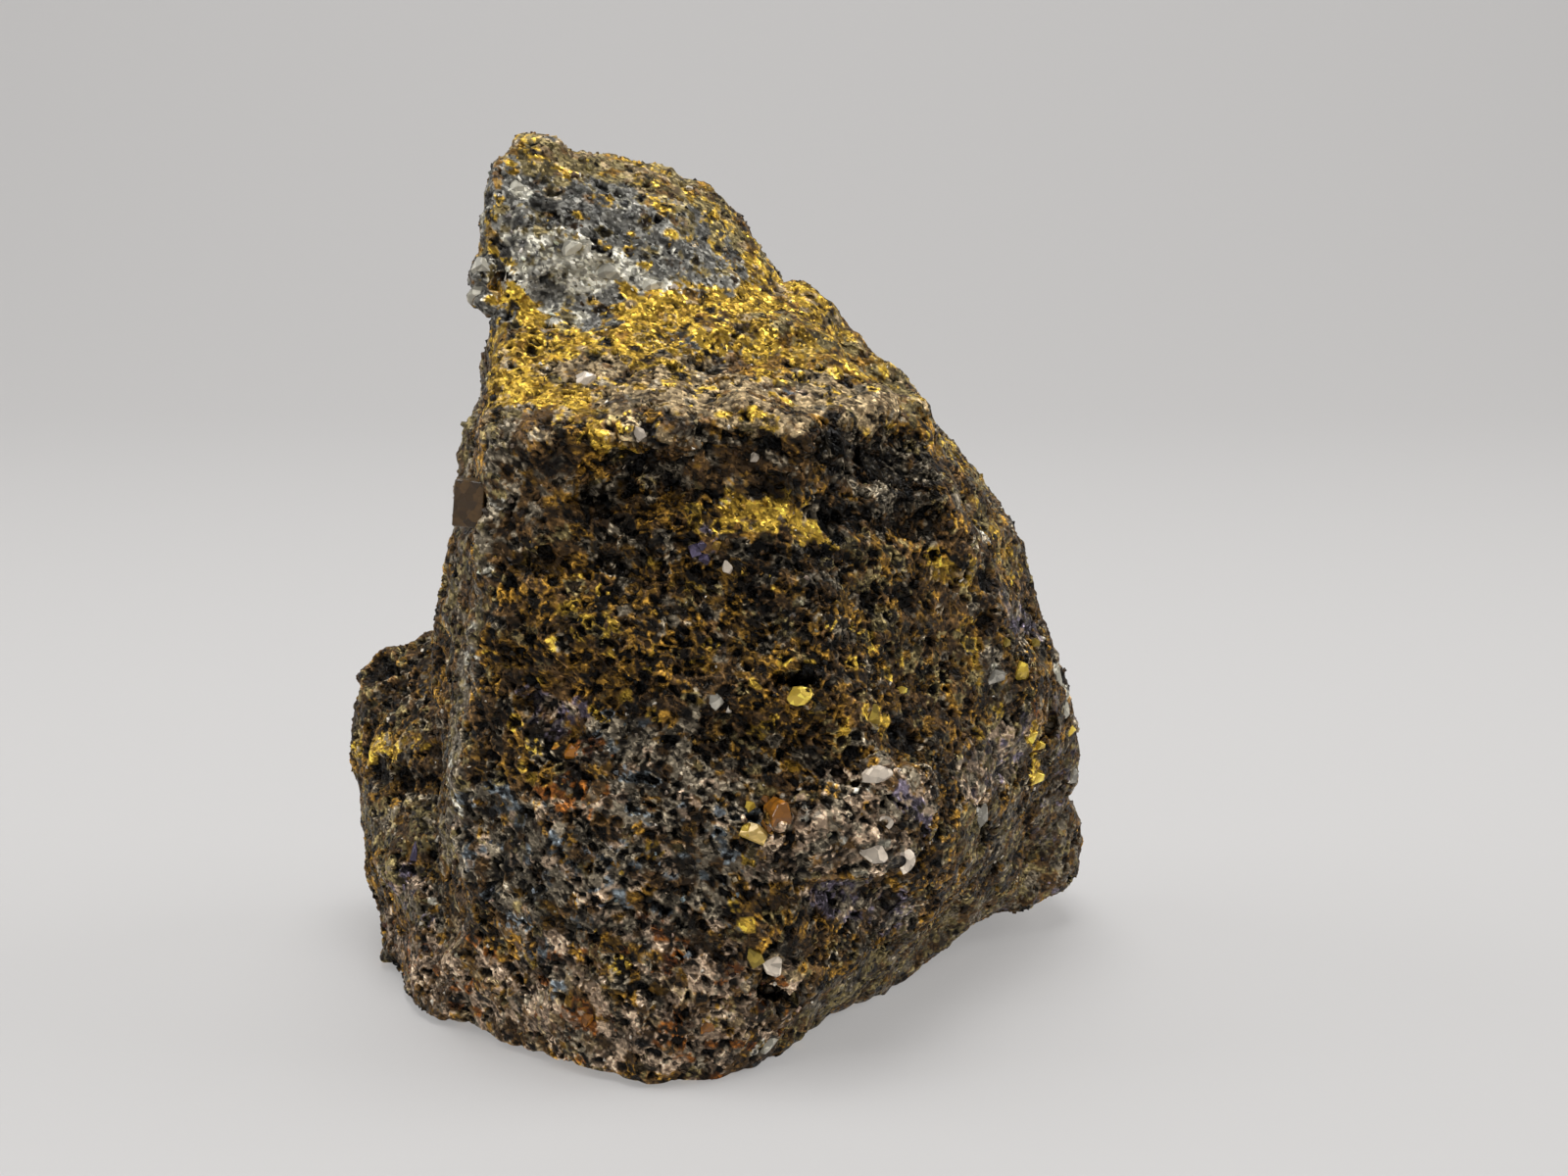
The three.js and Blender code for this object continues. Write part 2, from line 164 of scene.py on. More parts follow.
def makeBody(spec):
    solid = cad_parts["cobaltite_specimen"]
    body = bpy.data.objects.new("oreBody", solid.data.copy())
    bpy.context.scene.collection.objects.link(body)
    body.data.materials.clear()
    onlySelect(body)
    bpy.ops.object.mode_set(mode="EDIT")
    bpy.ops.mesh.select_all(action="SELECT")
    bpy.ops.mesh.remove_doubles(threshold=1e-6)
    bpy.ops.uv.smart_project(angle_limit=math.radians(66), island_margin=0.002)
    bpy.ops.object.mode_set(mode="OBJECT")
    body.data.uv_layers[0].name = "OFBake"
    for cuts, rounds in zip(spec["cuts"], spec["softening"]):
        onlySelect(body)
        bpy.ops.object.mode_set(mode="EDIT")
        bpy.ops.mesh.select_all(action="SELECT")
        bpy.ops.mesh.subdivide(number_cuts=cuts)
        bpy.ops.object.mode_set(mode="OBJECT")
        applyModifier(body, "SMOOTH", factor=0.5, iterations=rounds)
    for name in ("lumps", "chips"):
        addRelief(body, spec[name], name)
    return body


oreBody = makeBody(bodyShape)
rockTree = BVHTree.FromObject(oreBody, bpy.context.evaluated_depsgraph_get())
pixelsPerMm = 19.7  # at the middle of the rock


def onRock(px, py):
    # the place on the rock, in mm, that the camera sees at this pixel, and the way the surface faces there
    place, facing, _, _ = rockTree.ray_cast(Vector(photoCamera["place"]) * mm, sightLine(px, py))
    return (None, None) if place is None else (place / mm, facing)


def placesAlong(ends, step):
    # places on the rock under a line of pixels, or along a line in mm
    if len(ends) == 2:
        start, end = Vector(ends[0]), Vector(ends[1])
        count = max(int((end - start).length), 1)
        return [start.lerp(end, n / count) for n in range(count + 1)]
    x1, y1, x2, y2 = ends
    count = max(int(math.hypot(x2 - x1, y2 - y1) / step), 1)
    found = [onRock(x1 + (x2 - x1) * n / count, y1 + (y2 - y1) * n / count)[0] for n in range(count + 1)]
    return [place for place in found if place is not None]


def gapTo(points, places):
    # how far each point is from the nearest of the places
    gap = np.full(len(points), np.inf)
    for place in places:
        gap = np.minimum(gap, np.linalg.norm(points - np.array(place), axis=1))
    return gap


# edges and hollows of the broken faces: stroke between two pixels or two places in mm, half its width in
# pixels, height in mm
formStrokes = [
    (512, 436, 512, 460, 22, 0.4), (512, 460, 500, 560, 24, 0.55), (500, 560, 500, 650, 24, 0.5),
    (500, 650, 474, 800, 30, 0.45), (474, 800, 440, 900, 30, 0.3), (520, 428, 640, 456, 24, 0.35),
    (640, 456, 703, 438, 24, 0.45), (703, 438, 760, 424, 24, 0.45), (760, 424, 823, 444, 24, 0.5),
    (823, 444, 857, 428, 24, 0.45), (857, 428, 905, 420, 22, 0.45), (941, 420, 950, 500, 20, 0.45),
    (950, 500, 980, 566, 22, 0.45), (644, 478, 672, 486, 30, -1.1), (736, 466, 840, 484, 26, -0.5),
    (872, 462, 924, 474, 40, -1.2), (824, 526, 940, 530, 20, -0.8), (640, 540, 652, 584, 26, -0.9),
    (604, 506, 616, 516, 18, -0.8), (700, 612, 760, 640, 30, -0.4), (560, 722, 578, 734, 24, -0.5),
    (448, 664, 448, 800, 22, -0.7), (448, 800, 436, 890, 24, -0.35), (466, 448, 482, 400, 42, -1.1),
    ((-13.4, -0.8, 31.8), (-14.2, -0.7, 29.5), 30, -0.4),
    ((-13.4, -6.8, 29.0), (-14.2, -2.3, 26.5), 26, -0.4), (486, 392, 490, 376, 22, -0.35),
    (868, 336, 912, 376, 34, -1.2), (522, 142, 548, 144, 18, 0.45), (600, 152, 655, 174, 24, 0.2),
    ((-5.2, 1.4, 45.9), (-2.6, 2.0, 45.0), 16, 0.2), ((-11.3, -1.2, 45.0), (-11.7, -1.8, 42.5), 20, 0.35),
    ((-11.2, -3.3, 37.0), (-12.2, -0.4, 34.6), 24, 0.4), ((3.6, 3.2, 39.0), (5.0, 1.0, 38.7), 20, 0.4),
    ((8.8, 0.6, 35.8), (10.2, 1.6, 34.2), 30, -1.1), ((-16.6, 6.9, 18.2), (-19.4, 6.4, 17.2), 26, 0.4),
    ((-21.6, 3.8, 8.3), (-21.0, 2.5, 4.7), 44, -0.6), ((-21.0, 2.5, 4.7), (-20.4, 1.6, 2.2), 36, -0.3),
    (410, 658, 426, 650, 18, 0.4), (815, 300, 838, 316, 26, 0.4), (1050, 838, 1050, 920, 18, -0.5),
    (836, 912, 918, 932, 26, -0.4), (835, 858, 905, 850, 36, 0.4), (1040, 636, 1064, 660, 20, -0.4),
    (774, 1012, 798, 1014, 9, -1.2), (802, 694, 826, 690, 8, -0.9), (860, 789, 872, 791, 8, -0.9),
    (1001, 820, 1003, 824, 6, -0.7), (1003, 848, 1005, 852, 6, -0.7), (484, 318, 500, 320, 7, -0.6),
]
formBrush = {
    "step": 8,  # pixels between the places where a stroke is set on the rock
    "fringe": 1.6,  # of the half width, where a stroke has run out
    "seed": 91,
    "warpAcross": 1.6,  # mm
    "warpReach": 0.35,
    "footing": (0.0, 0.8),  # mm above the ground, where strokes begin and where they are full
    "evening": 2,  # rounds of smoothing
}
# where the foot stands clear of the ground or is pulled in: line on the ground, reach, lift and pull in mm
footLifts = [
    ((23.0, 8.5), (14.5, 3.5), 6.5, 1.2, 0.0),
    ((-18.0, -3.5), (-6.0, -14.0), 4.5, 0.3, 0.2),
    ((-21.5, 3.0), (-19.0, -1.5), 3.6, 0.3, 0.55),
]
liftedUpTo = 6.0  # mm above the ground
# the solid's cube is smoothed away, as a modelled crystal takes its place
meltedCube = {"place": (-12.6, -7.8, 28.3), "reach": (1.7, 2.3), "rounds": 220}  # mm


def shapeBody(body, strokes, brush):
    points = readPoints(body.data) / mm
    normals = readPoints(body.data, "normal")
    warped = warpedBy(points, brush)
    rise = np.zeros(len(points))
    for *ends, reach, height in strokes:
        gap = gapTo(warped, placesAlong(ends, brush["step"]))
        share = np.clip(1 - gap * pixelsPerMm / reach / brush["fringe"], 0, 1)
        share = share if height > 0 else smoothStep(0, 1, share)  # sharp edges, soft hollows
        rise += (height - rise) * share if height < 0 else height * share
    rise *= smoothStep(*brush["footing"], points[:, 2])
    writePoints(body.data, (points + normals * rise[:, None]) * mm)
    applyModifier(body, "SMOOTH", factor=0.5, iterations=brush["evening"])


def liftFoot(body, lifts, top):
    points = readPoints(body.data) / mm
    for start, end, reach, lift, pull in lifts:
        start, way = np.array(start), np.array(end) - np.array(start)
        along = np.clip((points[:, :2] - start) @ way / (way @ way), 0, 1)
        gap = np.linalg.norm(points[:, :2] - start - along[:, None] * way, axis=1)
        share = (1 - smoothStep(0, reach, gap)) * (1 - smoothStep(0, top, points[:, 2]))
        outwards = points[:, :2] / np.linalg.norm(points[:, :2], axis=1, keepdims=True)
        points[:, :2] -= pull * share[:, None] * outwards
        points[:, 2] += lift * share
    writePoints(body.data, points * mm)


def meltAround(body, spec):
    points = readPoints(body.data) / mm
    gap = np.linalg.norm(points - np.array(spec["place"]), axis=1)
    weights = 1 - smoothStep(*spec["reach"], gap)
    group = body.vertex_groups.new(name="melted")
    for n in np.flatnonzero(weights):
        group.add([int(n)], float(weights[n]), "REPLACE")
    applyModifier(body, "SMOOTH", factor=0.5, iterations=spec["rounds"], vertex_group="melted")


meltAround(oreBody, meltedCube)
shapeBody(oreBody, formStrokes, formBrush)
liftFoot(oreBody, footLifts, liftedUpTo)
rockTree = BVHTree.FromObject(oreBody, bpy.context.evaluated_depsgraph_get())
print("body made:", len(oreBody.data.polygons), "faces")


# minerals: dark and light are screen colours, metal and rough go to the shader
minerals = {
    "gold": {"dark": (0.42, 0.31, 0.08), "light": (0.94, 0.77, 0.30), "metal": 0.45, "rough": 0.34},
    "ochre": {"dark": (0.21, 0.145, 0.045), "light": (0.67, 0.50, 0.19), "metal": 0.2, "rough": 0.4},
    "brown": {"dark": (0.12, 0.08, 0.04), "light": (0.44, 0.33, 0.19), "metal": 0.15, "rough": 0.42},
    "rust": {"dark": (0.30, 0.16, 0.06), "light": (0.64, 0.39, 0.15), "metal": 0.1, "rough": 0.42},
    "grey": {"dark": (0.22, 0.19, 0.15), "light": (0.64, 0.59, 0.50), "metal": 0.3, "rough": 0.32},
    "steel": {"dark": (0.22, 0.215, 0.205), "light": (0.57, 0.56, 0.525), "metal": 0.15, "rough": 0.42},
    "black": {"dark": (0.035, 0.025, 0.014), "light": (0.15, 0.12, 0.08), "metal": 0.3, "rough": 0.3},
    "white": {"dark": (0.70, 0.68, 0.60), "light": (0.97, 0.95, 0.88), "metal": 0.0, "rough": 0.35},
    "tan": {"dark": (0.38, 0.31, 0.21), "light": (0.80, 0.70, 0.53), "metal": 0.05, "rough": 0.5},
    "pink": {"dark": (0.37, 0.29, 0.22), "light": (0.87, 0.76, 0.64), "metal": 0.25, "rough": 0.3},
    "violet": {"dark": (0.18, 0.15, 0.18), "light": (0.53, 0.49, 0.55), "metal": 0.5, "rough": 0.3},
    "blue": {"dark": (0.27, 0.285, 0.30), "light": (0.55, 0.59, 0.61), "metal": 0.4, "rough": 0.3},
    "olive": {"dark": (0.26, 0.22, 0.12), "light": (0.64, 0.57, 0.38), "metal": 0.12, "rough": 0.46},
}
mineralNames = list(minerals)
darkTones = linearColour([minerals[name]["dark"] for name in mineralNames])
lightTones = linearColour([minerals[name]["light"] for name in mineralNames])
metalOf = np.array([minerals[name]["metal"] for name in mineralNames])
roughOf = np.array([minerals[name]["rough"] for name in mineralNames])

# what each kind of ground is made of; pits is the share of its cells that are open
grounds = {
    "netted": {"brown": 0.40, "ochre": 0.18, "black": 0.28, "grey": 0.07, "olive": 0.07, "pits": 0.55},
    "greyCap": {"steel": 0.76, "white": 0.02, "black": 0.06, "olive": 0.10, "gold": 0.04,
                "brown": 0.02, "pits": 0.06},
    "quartz": {"white": 0.90, "steel": 0.05, "olive": 0.05, "pits": 0.02},
    "goldCrown": {"gold": 0.42, "ochre": 0.20, "olive": 0.32, "brown": 0.06, "pits": 0.05},
    "oliveCrown": {"olive": 0.68, "gold": 0.14, "tan": 0.10, "brown": 0.08, "pits": 0.08},
    "goldShelf": {"gold": 0.84, "ochre": 0.08, "tan": 0.04, "black": 0.04, "pits": 0.13},
    "sandyShelf": {"tan": 0.70, "brown": 0.14, "gold": 0.08, "black": 0.04, "grey": 0.04, "pits": 0.2},
    # the dark hollow ground lays black into dents and creases as painted shade, over open pits of real
    # relief
    "darkHollow": {"black": 0.74, "grey": 0.18, "brown": 0.08, "pits": 0.65},
    "brownBed": {"brown": 0.62, "grey": 0.13, "black": 0.09, "ochre": 0.16, "pits": 0.28},
    "goldNet": {"ochre": 0.38, "gold": 0.06, "brown": 0.28, "black": 0.26, "olive": 0.02, "pits": 0.6},
    "darkNet": {"black": 0.52, "grey": 0.08, "brown": 0.20, "ochre": 0.16, "gold": 0.02,
                "olive": 0.02, "pits": 0.65},
    "oliveNet": {"olive": 0.30, "black": 0.30, "ochre": 0.18, "brown": 0.20, "grey": 0.02, "pits": 0.55},
    "rustyGround": {"rust": 0.54, "ochre": 0.22, "brown": 0.18, "black": 0.06, "pits": 0.3},
    "blueGrey": {"grey": 0.50, "black": 0.22, "blue": 0.09, "brown": 0.10, "pink": 0.07,
                 "ochre": 0.02, "pits": 0.42},
    "blueSpot": {"blue": 0.60, "grey": 0.30, "black": 0.10, "pits": 0.2},
    "pinkSparkle": {"pink": 0.50, "brown": 0.24, "grey": 0.08, "rust": 0.06, "black": 0.14,
                    "tan": 0.02, "pits": 0.34},
    "sugaryFoot": {"pink": 0.36, "brown": 0.26, "tan": 0.12, "grey": 0.12, "ochre": 0.04,
                   "rust": 0.04, "black": 0.06, "pits": 0.28},
    "silverRidge": {"grey": 0.46, "olive": 0.28, "brown": 0.16, "white": 0.04, "black": 0.06,
                    "pits": 0.16},
    "greenFlank": {"olive": 0.42, "brown": 0.30, "grey": 0.14, "black": 0.14, "pits": 0.16},
    "smoothBrown": {"brown": 0.56, "grey": 0.28, "olive": 0.14, "violet": 0.02, "pits": 0.08},
    "goldFlank": {"gold": 0.16, "ochre": 0.14, "olive": 0.36, "brown": 0.20, "black": 0.08, "pits": 0.24},
    "lilacFlank": {"grey": 0.34, "pink": 0.26, "violet": 0.12, "olive": 0.16, "black": 0.12,
                   "pits": 0.24},
    "paleCrust": {"pink": 0.52, "grey": 0.20, "brown": 0.14, "black": 0.10, "white": 0.02,
                  "ochre": 0.02, "pits": 0.42},
    "violetSheen": {"violet": 0.66, "black": 0.20, "pink": 0.10, "grey": 0.04, "pits": 0.25},
    "darkViolet": {"black": 0.38, "violet": 0.24, "grey": 0.16, "brown": 0.14, "pink": 0.08,
                   "pits": 0.38},
    "paleCorner": {"white": 0.50, "gold": 0.20, "olive": 0.20, "brown": 0.10, "pits": 0.05},
    # the open pit ground lays black into carved pits as painted shade, and opens all their cells as real
    # relief
    "openPit": {"black": 1.0, "pits": 1.0},
}

# painted in this order: ground, and its strokes from pixel to pixel, half their width in pixels, strength
frontStrokes = [
    # the dark hollow and open pit strokes lay black into dents, creases and pits as painted shade
    ("greyCap", (560, 190, 600, 290, 78, 1.0), (650, 215, 725, 262, 66, 1.0),
     (520, 200, 520, 300, 42, 1.0)),
    ("goldCrown", (520, 142, 600, 160, 24, 1.0), (500, 172, 512, 180, 12, 0.8)),
    ("oliveCrown", (560, 158, 705, 192, 30, 1.0)),
    ("goldCrown", (622, 170, 648, 180, 12, 0.8), (684, 190, 712, 198, 14, 0.7)),
    ("oliveCrown", (705, 200, 784, 266, 22, 0.9), (690, 225, 740, 262, 20, 0.5)),
    ("quartz", (536, 246, 580, 256, 20, 0.9), (506, 272, 560, 280, 13, 0.6),
     (575, 268, 640, 284, 23, 0.95), (644, 284, 690, 294, 17, 1.0), (520, 188, 530, 196, 10, 0.8),
     (510, 212, 522, 218, 8, 0.5), (560, 318, 590, 330, 12, 0.35), (640, 215, 652, 222, 8, 0.3)),
    ("openPit", (606, 250, 620, 256, 7, 0.9)),
    ("darkHollow", (560, 206, 590, 224, 12, 0.4)),
    ("goldShelf", (500, 228, 506, 240, 11, 0.9), (664, 208, 672, 211, 7, 0.9)),
    ("rustyGround", (553, 211, 558, 213, 5, 0.9), (686, 236, 692, 238, 6, 0.8)),
    ("goldShelf", (640, 262, 660, 270, 6, 0.6), (512, 300, 548, 322, 17, 1.0),
     (632, 292, 648, 316, 9, 0.8), (765, 268, 800, 290, 18, 1.0), (700, 312, 800, 300, 22, 1.0),
     (502, 350, 560, 352, 24, 0.9), (560, 356, 660, 338, 26, 1.0), (660, 335, 830, 340, 42, 1.0)),
    ("goldCrown", (800, 330, 880, 372, 40, 1.0)),
    ("oliveCrown", (862, 336, 926, 400, 22, 0.8)),
    ("goldShelf", (516, 392, 560, 418, 30, 1.0), (815, 300, 850, 330, 22, 0.8)),
    ("greyCap", (596, 318, 620, 330, 13, 0.7), (720, 318, 736, 322, 8, 0.6), (690, 346, 706, 352, 9, 0.6),
     (740, 350, 760, 362, 10, 0.6)),
    ("darkHollow", (508, 318, 520, 330, 10, 0.6)),
    ("sandyShelf", (590, 368, 730, 372, 18, 0.85), (575, 378, 700, 384, 22, 0.9),
     (650, 392, 850, 392, 20, 0.85), (690, 405, 920, 408, 28, 1.0), (620, 408, 780, 420, 24, 1.0),
     (500, 424, 560, 436, 14, 0.6), (560, 430, 610, 440, 10, 0.6), (628, 442, 700, 434, 13, 0.95),
     (700, 430, 760, 421, 12, 0.9), (760, 423, 823, 436, 12, 0.9), (823, 436, 905, 424, 10, 0.8)),
    ("goldShelf", (540, 392, 590, 418, 22, 1.0), (590, 418, 614, 446, 14, 0.9),
     (650, 366, 700, 374, 12, 0.6), (780, 374, 800, 388, 15, 0.8), (850, 372, 900, 380, 12, 0.5)),
    ("blueGrey", (795, 396, 808, 400, 12, 0.8)),
    ("oliveCrown", (895, 378, 938, 412, 14, 0.8)),
    ("goldShelf", (600, 428, 640, 466, 13, 1.0)),
    ("brownBed", (520, 450, 590, 500, 40, 1.0), (520, 520, 570, 590, 40, 0.9)),
    ("goldNet", (600, 475, 640, 500, 16, 0.8)),
    ("greenFlank", (484, 400, 470, 470, 18, 1.0), (476, 540, 462, 640, 22, 1.0)),
    ("silverRidge", (506, 440, 498, 560, 15, 1.0), (500, 560, 474, 700, 20, 1.0),
     (470, 690, 456, 870, 22, 1.0), (452, 870, 440, 960, 14, 0.6)),
    # painted shade: black in the hollows under the ledge
    ("darkHollow", (644, 472, 696, 486, 20, 1.0)),
    ("brownBed", (712, 456, 850, 492, 30, 0.9)),
    ("darkHollow", (728, 446, 790, 452, 14, 0.9), (860, 462, 930, 482, 40, 1.0),
     (828, 524, 940, 526, 24, 1.0), (620, 512, 650, 580, 26, 1.0)),
    ("goldNet", (650, 515, 740, 530, 22, 1.0)),
    ("goldShelf", (748, 526, 804, 522, 15, 1.0), (800, 528, 830, 550, 14, 1.0)),
    ("darkNet", (520, 610, 560, 640, 40, 0.7)),
    ("goldNet", (570, 600, 690, 620, 50, 1.0), (530, 690, 650, 690, 46, 1.0),
     (660, 640, 740, 690, 34, 0.9)),
    ("darkHollow", (606, 560, 640, 600, 20, 0.9), (670, 560, 700, 610, 26, 0.9),
     (640, 620, 690, 650, 22, 0.8)),
    ("violetSheen", (712, 562, 722, 570, 12, 0.9)),
    ("darkNet", (700, 590, 960, 600, 34, 1.0)),
    ("darkHollow", (760, 570, 840, 580, 20, 0.7)),
    ("darkNet", (740, 650, 900, 660, 40, 1.0)),
    ("oliveNet", (880, 580, 960, 690, 40, 0.7)),
    ("goldNet", (780, 600, 880, 620, 12, 0.7), (730, 660, 800, 680, 12, 0.6)),
    ("darkNet", (620, 735, 700, 745, 22, 0.8)),
    ("darkViolet", (548, 720, 590, 736, 24, 1.0)),
    ("rustyGround", (582, 762, 600, 770, 24, 0.9)),
    ("darkNet", (520, 740, 540, 760, 22, 0.7)),
    ("goldNet", (510, 760, 540, 790, 16, 0.6)),
    ("rustyGround", (560, 812, 665, 820, 14, 0.9)),
    ("darkNet", (720, 740, 860, 760, 34, 0.8)),
    ("goldNet", (760, 720, 880, 740, 18, 0.8)),
    ("goldShelf", (884, 722, 902, 738, 10, 0.8)),
    ("blueGrey", (640, 780, 730, 850, 52, 0.9), (500, 860, 700, 930, 62, 0.9)),
    ("darkHollow", (500, 880, 520, 900, 26, 0.6), (690, 900, 720, 930, 26, 0.6)),
    ("darkNet", (620, 850, 650, 880, 24, 0.6)),
    ("blueSpot", (566, 844, 568, 858, 10, 0.8), (500, 838, 512, 846, 9, 0.5),
     (530, 930, 536, 940, 9, 0.5)),
    ("sugaryFoot", (460, 1000, 600, 1040, 56, 0.85), (600, 1030, 760, 1040, 64, 0.85)),
    ("blueGrey", (520, 940, 566, 990, 24, 0.7)),
    ("pinkSparkle", (566, 960, 606, 980, 22, 0.7), (660, 964, 740, 1000, 30, 0.8)),
    ("darkNet", (626, 975, 650, 1010, 28, 0.9)),
    ("pinkSparkle", (450, 970, 480, 1020, 22, 0.7), (620, 1050, 720, 1080, 36, 0.95)),
    ("rustyGround", (580, 1020, 600, 1044, 16, 0.7), (670, 972, 682, 980, 12, 0.6)),
    ("goldShelf", (716, 1040, 726, 1050, 9, 0.8)),
    ("goldNet", (540, 985, 550, 990, 10, 0.6)),
    ("goldFlank", (950, 440, 1010, 500, 26, 1.0)),
    ("silverRidge", (975, 500, 1000, 540, 20, 0.8)),
    ("goldFlank", (1000, 520, 1040, 590, 20, 0.9)),
    ("brownBed", (950, 600, 990, 650, 34, 0.8)),
    ("goldShelf", (958, 584, 990, 588, 18, 0.8)),
    ("goldFlank", (985, 650, 1010, 740, 22, 0.8)),
    ("darkViolet", (1020, 610, 1050, 650, 24, 0.8)),
    ("violetSheen", (1040, 620, 1050, 634, 10, 1.0)),
    ("darkHollow", (1050, 652, 1066, 662, 12, 0.7)),
    ("silverRidge", (1010, 680, 1026, 700, 16, 0.8)),
    ("quartz", (1078, 672, 1090, 724, 10, 0.9)),
    ("lilacFlank", (990, 790, 1040, 760, 34, 0.9)),
    ("rustyGround", (1056, 734, 1076, 746, 12, 1.0)),
    ("goldShelf", (1052, 752, 1056, 798, 11, 0.9)),
    ("greenFlank", (985, 850, 1050, 870, 36, 0.9), (1000, 880, 1040, 900, 24, 0.6)),
    ("smoothBrown", (1070, 826, 1084, 890, 30, 1.0), (1074, 720, 1086, 790, 16, 0.9)),
    ("violetSheen", (1080, 770, 1088, 800, 9, 0.7)),
    ("greenFlank", (830, 1034, 985, 936, 40, 1.0)),
    ("goldNet", (860, 990, 900, 960, 12, 0.6)),
    ("smoothBrown", (985, 936, 1060, 910, 22, 1.0)),
    ("darkNet", (960, 780, 975, 850, 22, 0.6)),
    ("paleCrust", (830, 850, 900, 815, 38, 1.0), (800, 862, 905, 876, 28, 1.0),
     (900, 800, 948, 808, 20, 0.9), (760, 890, 830, 890, 20, 0.6)),
    ("violetSheen", (924, 812, 946, 836, 14, 1.0)),
    ("darkViolet", (836, 912, 918, 932, 26, 1.0)),
    ("violetSheen", (850, 905, 870, 912, 9, 0.8)),
    ("darkHollow", (846, 848, 856, 852, 8, 0.8)),
    ("goldNet", (756, 900, 786, 950, 16, 0.6)),
    ("goldShelf", (764, 862, 772, 868, 8, 0.6), (754, 924, 772, 944, 10, 0.5)),
    ("paleCorner", (776, 1070, 792, 1082, 12, 0.9)),
    ("netted", (385, 690, 440, 676, 26, 1.0)),
    ("greenFlank", (372, 720, 440, 730, 18, 0.6)),
    ("goldShelf", (366, 768, 440, 758, 16, 0.8)),
    ("darkNet", (370, 800, 430, 800, 14, 0.8)),
    ("greenFlank", (376, 840, 430, 850, 28, 0.9)),
    ("lilacFlank", (396, 900, 430, 930, 26, 0.8)),
    ("violetSheen", (408, 872, 416, 930, 8, 0.7), (418, 985, 424, 992, 8, 0.7)),
    ("pinkSparkle", (400, 950, 440, 1010, 26, 0.9)),
    ("darkHollow", (446, 664, 448, 780, 8, 0.6)),
    # painted shade: black in the pits carved by the form strokes
    ("openPit", (772, 1012, 798, 1014, 9, 1.0), (802, 694, 826, 690, 8, 1.0),
     (860, 789, 872, 791, 8, 1.0), (1001, 820, 1003, 824, 4, 1.0), (1003, 848, 1005, 852, 4, 1.0)),
]

# the sides that the picture doesn't show: ground, and its strokes from place to place and half their width,
# all in mm, strength
hiddenStrokes = [
    ("greenFlank", ((-13.5, 0, 32), (-15, 3, 22), 4.6, 0.9)),
    ("silverRidge", ((-14, 6, 30), (-15, 7, 24), 2.6, 0.8)),
    ("brownBed", ((-16, 5, 19), (-15, -2, 14), 3.0, 0.8)),
    ("goldFlank", ((-13, 4, 27), (-14, 1, 25), 1.5, 0.8)),
    ("greenFlank", ((13, 6, 31), (18, 7, 20), 4.2, 0.9)),
    ("smoothBrown", ((20, 6, 12), (21, 7, 4), 3.4, 0.8)),
    ("brownBed", ((-9, 10, 26), (8, 12, 24), 4.0, 1.0)),
    ("darkNet", ((-6, 12, 21), (6, 13, 19), 4.0, 0.9)),
    ("brownBed", ((14, 8, 24), (18, 9, 12), 3.6, 0.9)),
    ("darkNet", ((-14, 10, 20), (-13, 12, 8), 3.4, 0.9)),
    ("greyCap", ((-9, 5, 43), (-1, 6, 38), 4.5, 1.0), ((2, 7, 34), (6, 8, 30), 3.0, 0.8)),
    ("quartz", ((-6, 6, 39), (-2, 7, 36), 1.6, 0.9)),
    ("oliveCrown", ((-9, 2, 46), (-1, 3, 42), 2.4, 0.9)),
    ("goldShelf", ((-9, 8, 33), (1, 9, 32), 1.7, 0.9)),
    ("goldCrown", ((1, 9, 32), (5, 10, 30), 1.8, 0.9)),
    ("sandyShelf", ((-9, 9, 30), (0, 10.5, 29), 1.8, 0.8)),
    ("goldFlank", ((14, 5, 29), (18, 9, 22), 2.4, 0.9)),
    ("goldNet", ((-5, 11, 24), (5, 12, 23), 1.8, 0.8)),
    # painted shade: black laid in at the back, as in the hollows at the front
    ("darkHollow", ((6, 13, 17), (9, 12, 15), 3.0, 0.9)),
    ("blueGrey", ((-4, 14, 12), (6, 15, 8), 4.0, 0.9)),
    ("pinkSparkle", ((-9, 13, 5), (2, 14, 3), 2.6, 0.9)),
    ("brownBed", ((6, 14, 4), (14, 12, 3), 2.6, 0.9)),
    ("rustyGround", ((-5, 13.5, 18), (-3, 14, 17), 1.4, 0.8)),
    ("violetSheen", ((11, 12.5, 8), (12, 12, 6), 1.5, 0.8)),
    ("greenFlank", ((-16, 9, 24), (-15, 8, 14), 3.2, 0.9)),
    ("goldShelf", ((-20, 9, 14), (-16, 11, 15), 1.2, 0.8)),
    ("greenFlank", ((-20, 8, 10), (-18, 10, 3), 3.0, 0.9)),
    ("darkNet", ((20, 9, 4), (17, 12, 4), 3.0, 0.9)),
    ("goldNet", ((19, 8, 15), (17, 10, 13), 2.2, 0.8)),
    ("silverRidge", ((13, 11, 20), (12, 11.5, 12), 1.8, 0.8)),
    ("paleCrust", ((-1, 14.5, 6), (1, 14.5, 5), 1.8, 0.9)),
]

paintBrush = {
    "step": 12,  # pixels between the places where a stroke is set on the rock
    "core": 0.6,  # of the half width, fully covered
    "fringe": 1.25,  # of the half width, where a stroke has run out
    "seed": 11,
    "warpAcross": 1.3,  # mm
    "warpReach": 0.5,
    "clumpSeed": 31,
    "clumpAcross": 0.9,
    "clumpPull": 2.2,  # how far the minerals keep apart
}


def strokePlaces(ground, stroke):
    *ends, reach, strength = stroke
    reach = reach if len(ends) == 2 else reach / pixelsPerMm
    return ground, placesAlong(ends, paintBrush["step"]), reach, strength


allStrokes = [(ground, stroke) for ground, *strokes in frontStrokes + hiddenStrokes for stroke in strokes]
paintedStrokes = [strokePlaces(ground, stroke) for ground, stroke in allStrokes]
paintedStrokes = [stroke for stroke in paintedStrokes if stroke[1]]


